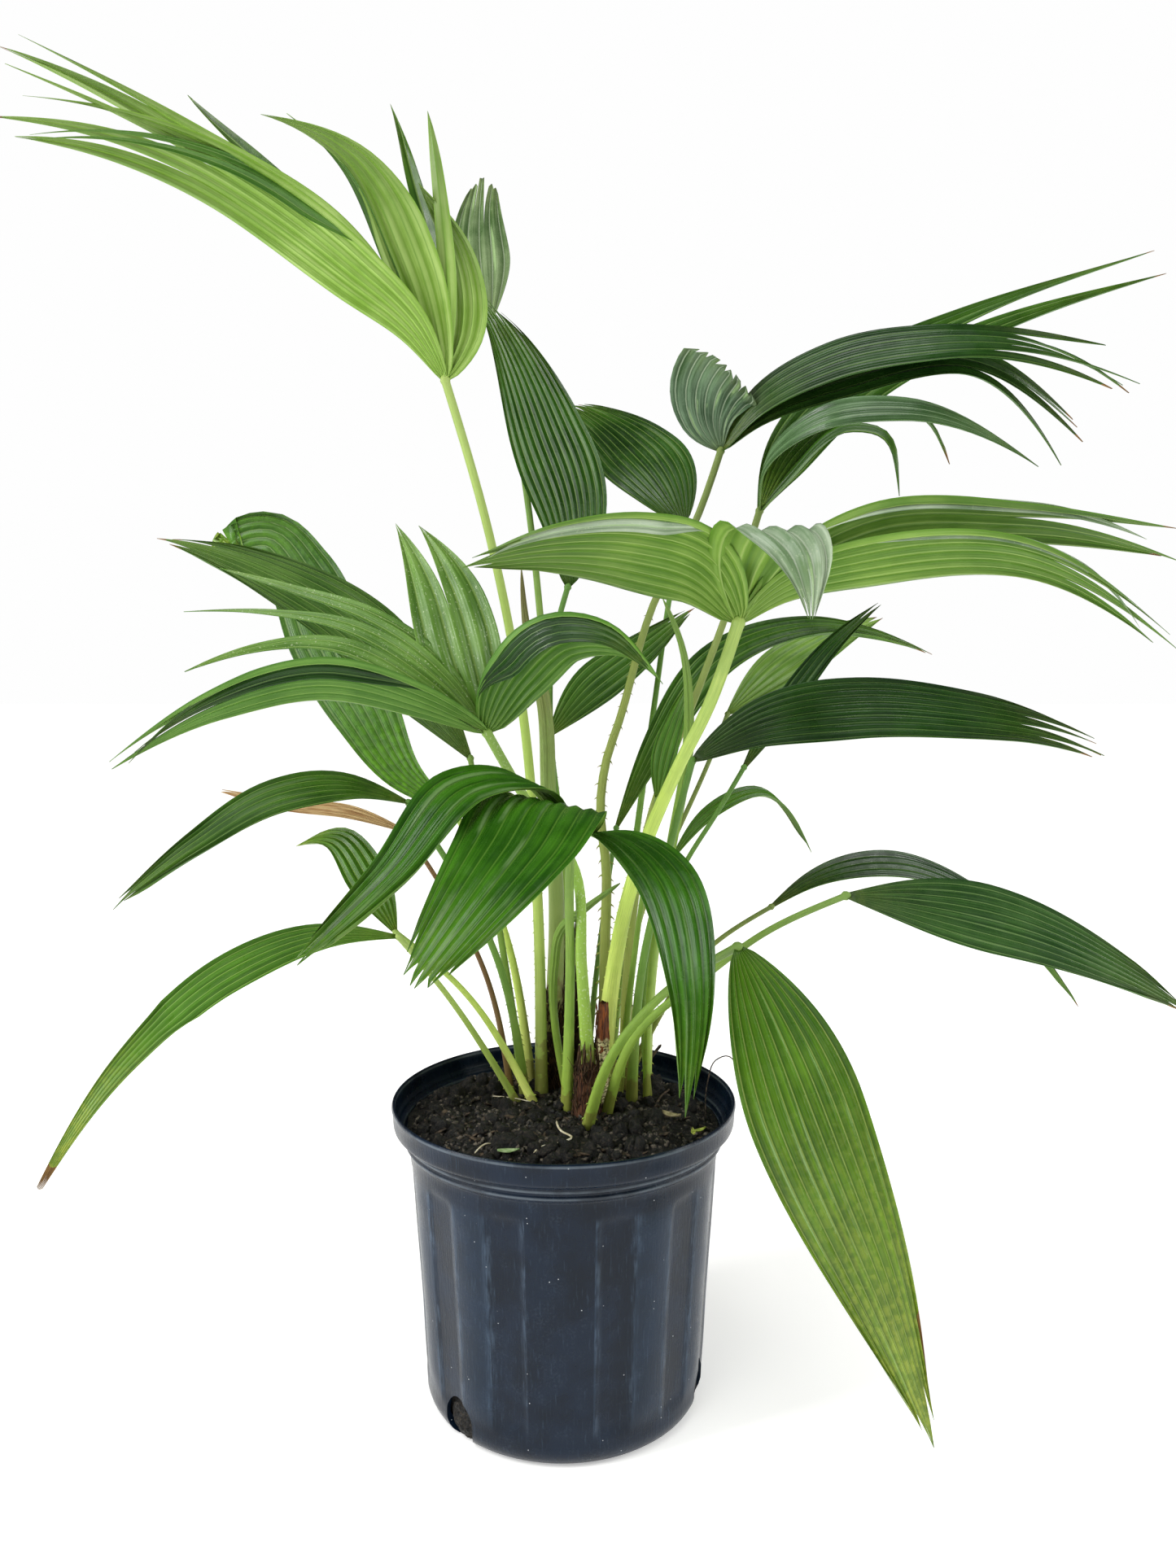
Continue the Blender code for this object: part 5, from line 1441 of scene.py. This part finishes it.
def stage_light():
    """Soft daylight: a bright room that is dim in reflections, two windows and a broad sky."""
    world = bpy.data.worlds.new("studio")
    bpy.context.scene.world = world
    world.use_nodes = True
    tree = world.node_tree
    room = tree.nodes["Background"]
    room.inputs["Color"].default_value = to_linear("#fffdfa")
    room.inputs["Strength"].default_value = 0.40
    wall = add(tree, "ShaderNodeBackground", {"Color": to_linear("#fefefe"), "Strength": 1.0})[0]
    dim = add(tree, "ShaderNodeBackground", {"Color": to_linear("#fffdfa"), "Strength": 0.08})[0]
    path = add(tree, "ShaderNodeLightPath")
    lit = add(tree, "ShaderNodeMixShader", {0: path["Is Glossy Ray"], 1: room.outputs[0], 2: dim})[0]
    seen = add(tree, "ShaderNodeMixShader", {0: path["Is Camera Ray"], 1: lit, 2: wall})[0]
    tree.links.new(seen, tree.nodes["World Output"].inputs["Surface"])
    softbox("window_left", (-2.2, -1.0, 1.5), (0.6, 2.2), 54)
    softbox("window_right", (2.3, -0.5, 1.3), (0.5, 2.0), 30)
    skylight = bpy.data.lights.new("skylight", "SUN")
    skylight.energy = 1.35
    skylight.angle = math.radians(35.0)
    placed("skylight", skylight).rotation_euler = (math.radians(22.0), math.radians(-14.0), 0.0)


def stage_camera():
    """The photograph's view: from just under a metre in front of the pot's middle, 6 degrees down."""
    data = bpy.data.cameras.new("camera")
    data.lens = 28.02
    data.sensor_width = 36.0
    data.clip_start = 0.02
    camera = placed("camera", data)
    camera.location = (0.019, -0.936, 0.587)
    camera.rotation_euler = (math.radians(84.0), 0.0, 0.0)
    bpy.context.scene.camera = camera


def main():
    bpy.context.scene.view_settings.view_transform = "Standard"
    finishes = make_finishes()
    dice = random.Random(11)
    build_pot(finishes["pot"])
    build_soil(finishes["soil"])
    build_drain_soil(finishes["soil"])
    tree = strewing_tree()
    for name, (kind, margin, rough, stretch, levels, finish, *values) in STREWN.items():
        surface = strewing_surface(BODY_TOP_RADIUS - 0.001 - margin)
        bit = lump_mesh(kind, rough, stretch, dice, levels)
        many, least, most, tilt, seed = values
        strew(tree, name, surface, bit, finishes[finish],
              Per_square_metre=many, Smallest=least, Largest=most, Tilt=tilt, Seed=seed)
    for name, stem in STEMS.items():
        papery = name == "stub_brown"
        cover = finishes["sheath" if papery else "front_core" if name == "stem_front" else "core"]
        strands = finishes["sheath" if papery else "fibre"]
        fibres, ragged, closing = (26, 0.006, 0.1) if papery else (90, 0.002, 0.4)
        build_stem(name, stem, [cover, strands], dice, fibres, ragged, closing)
    for name, (radii, *places) in SPEARS.items():
        build_spear(name, radii, places, finishes["stalk_spear" if name == "spear_tall" else "stalk_mid"])
    for name, given in LEAVES.items():
        upper, under, stalk, *flap = given["finishes"]
        dry = "straw" if name == "left_dead" else "scorched"
        build_blade(name, given, [finishes[key] for key in (upper, under, dry, *flap)], dice)
        build_stalk(name, given, [finishes["stalk_" + stalk], finishes["thorn"]], dice)
    build_litter(finishes)
    stage_floor()
    stage_light()
    stage_camera()
    bpy.context.view_layer.update()


main()
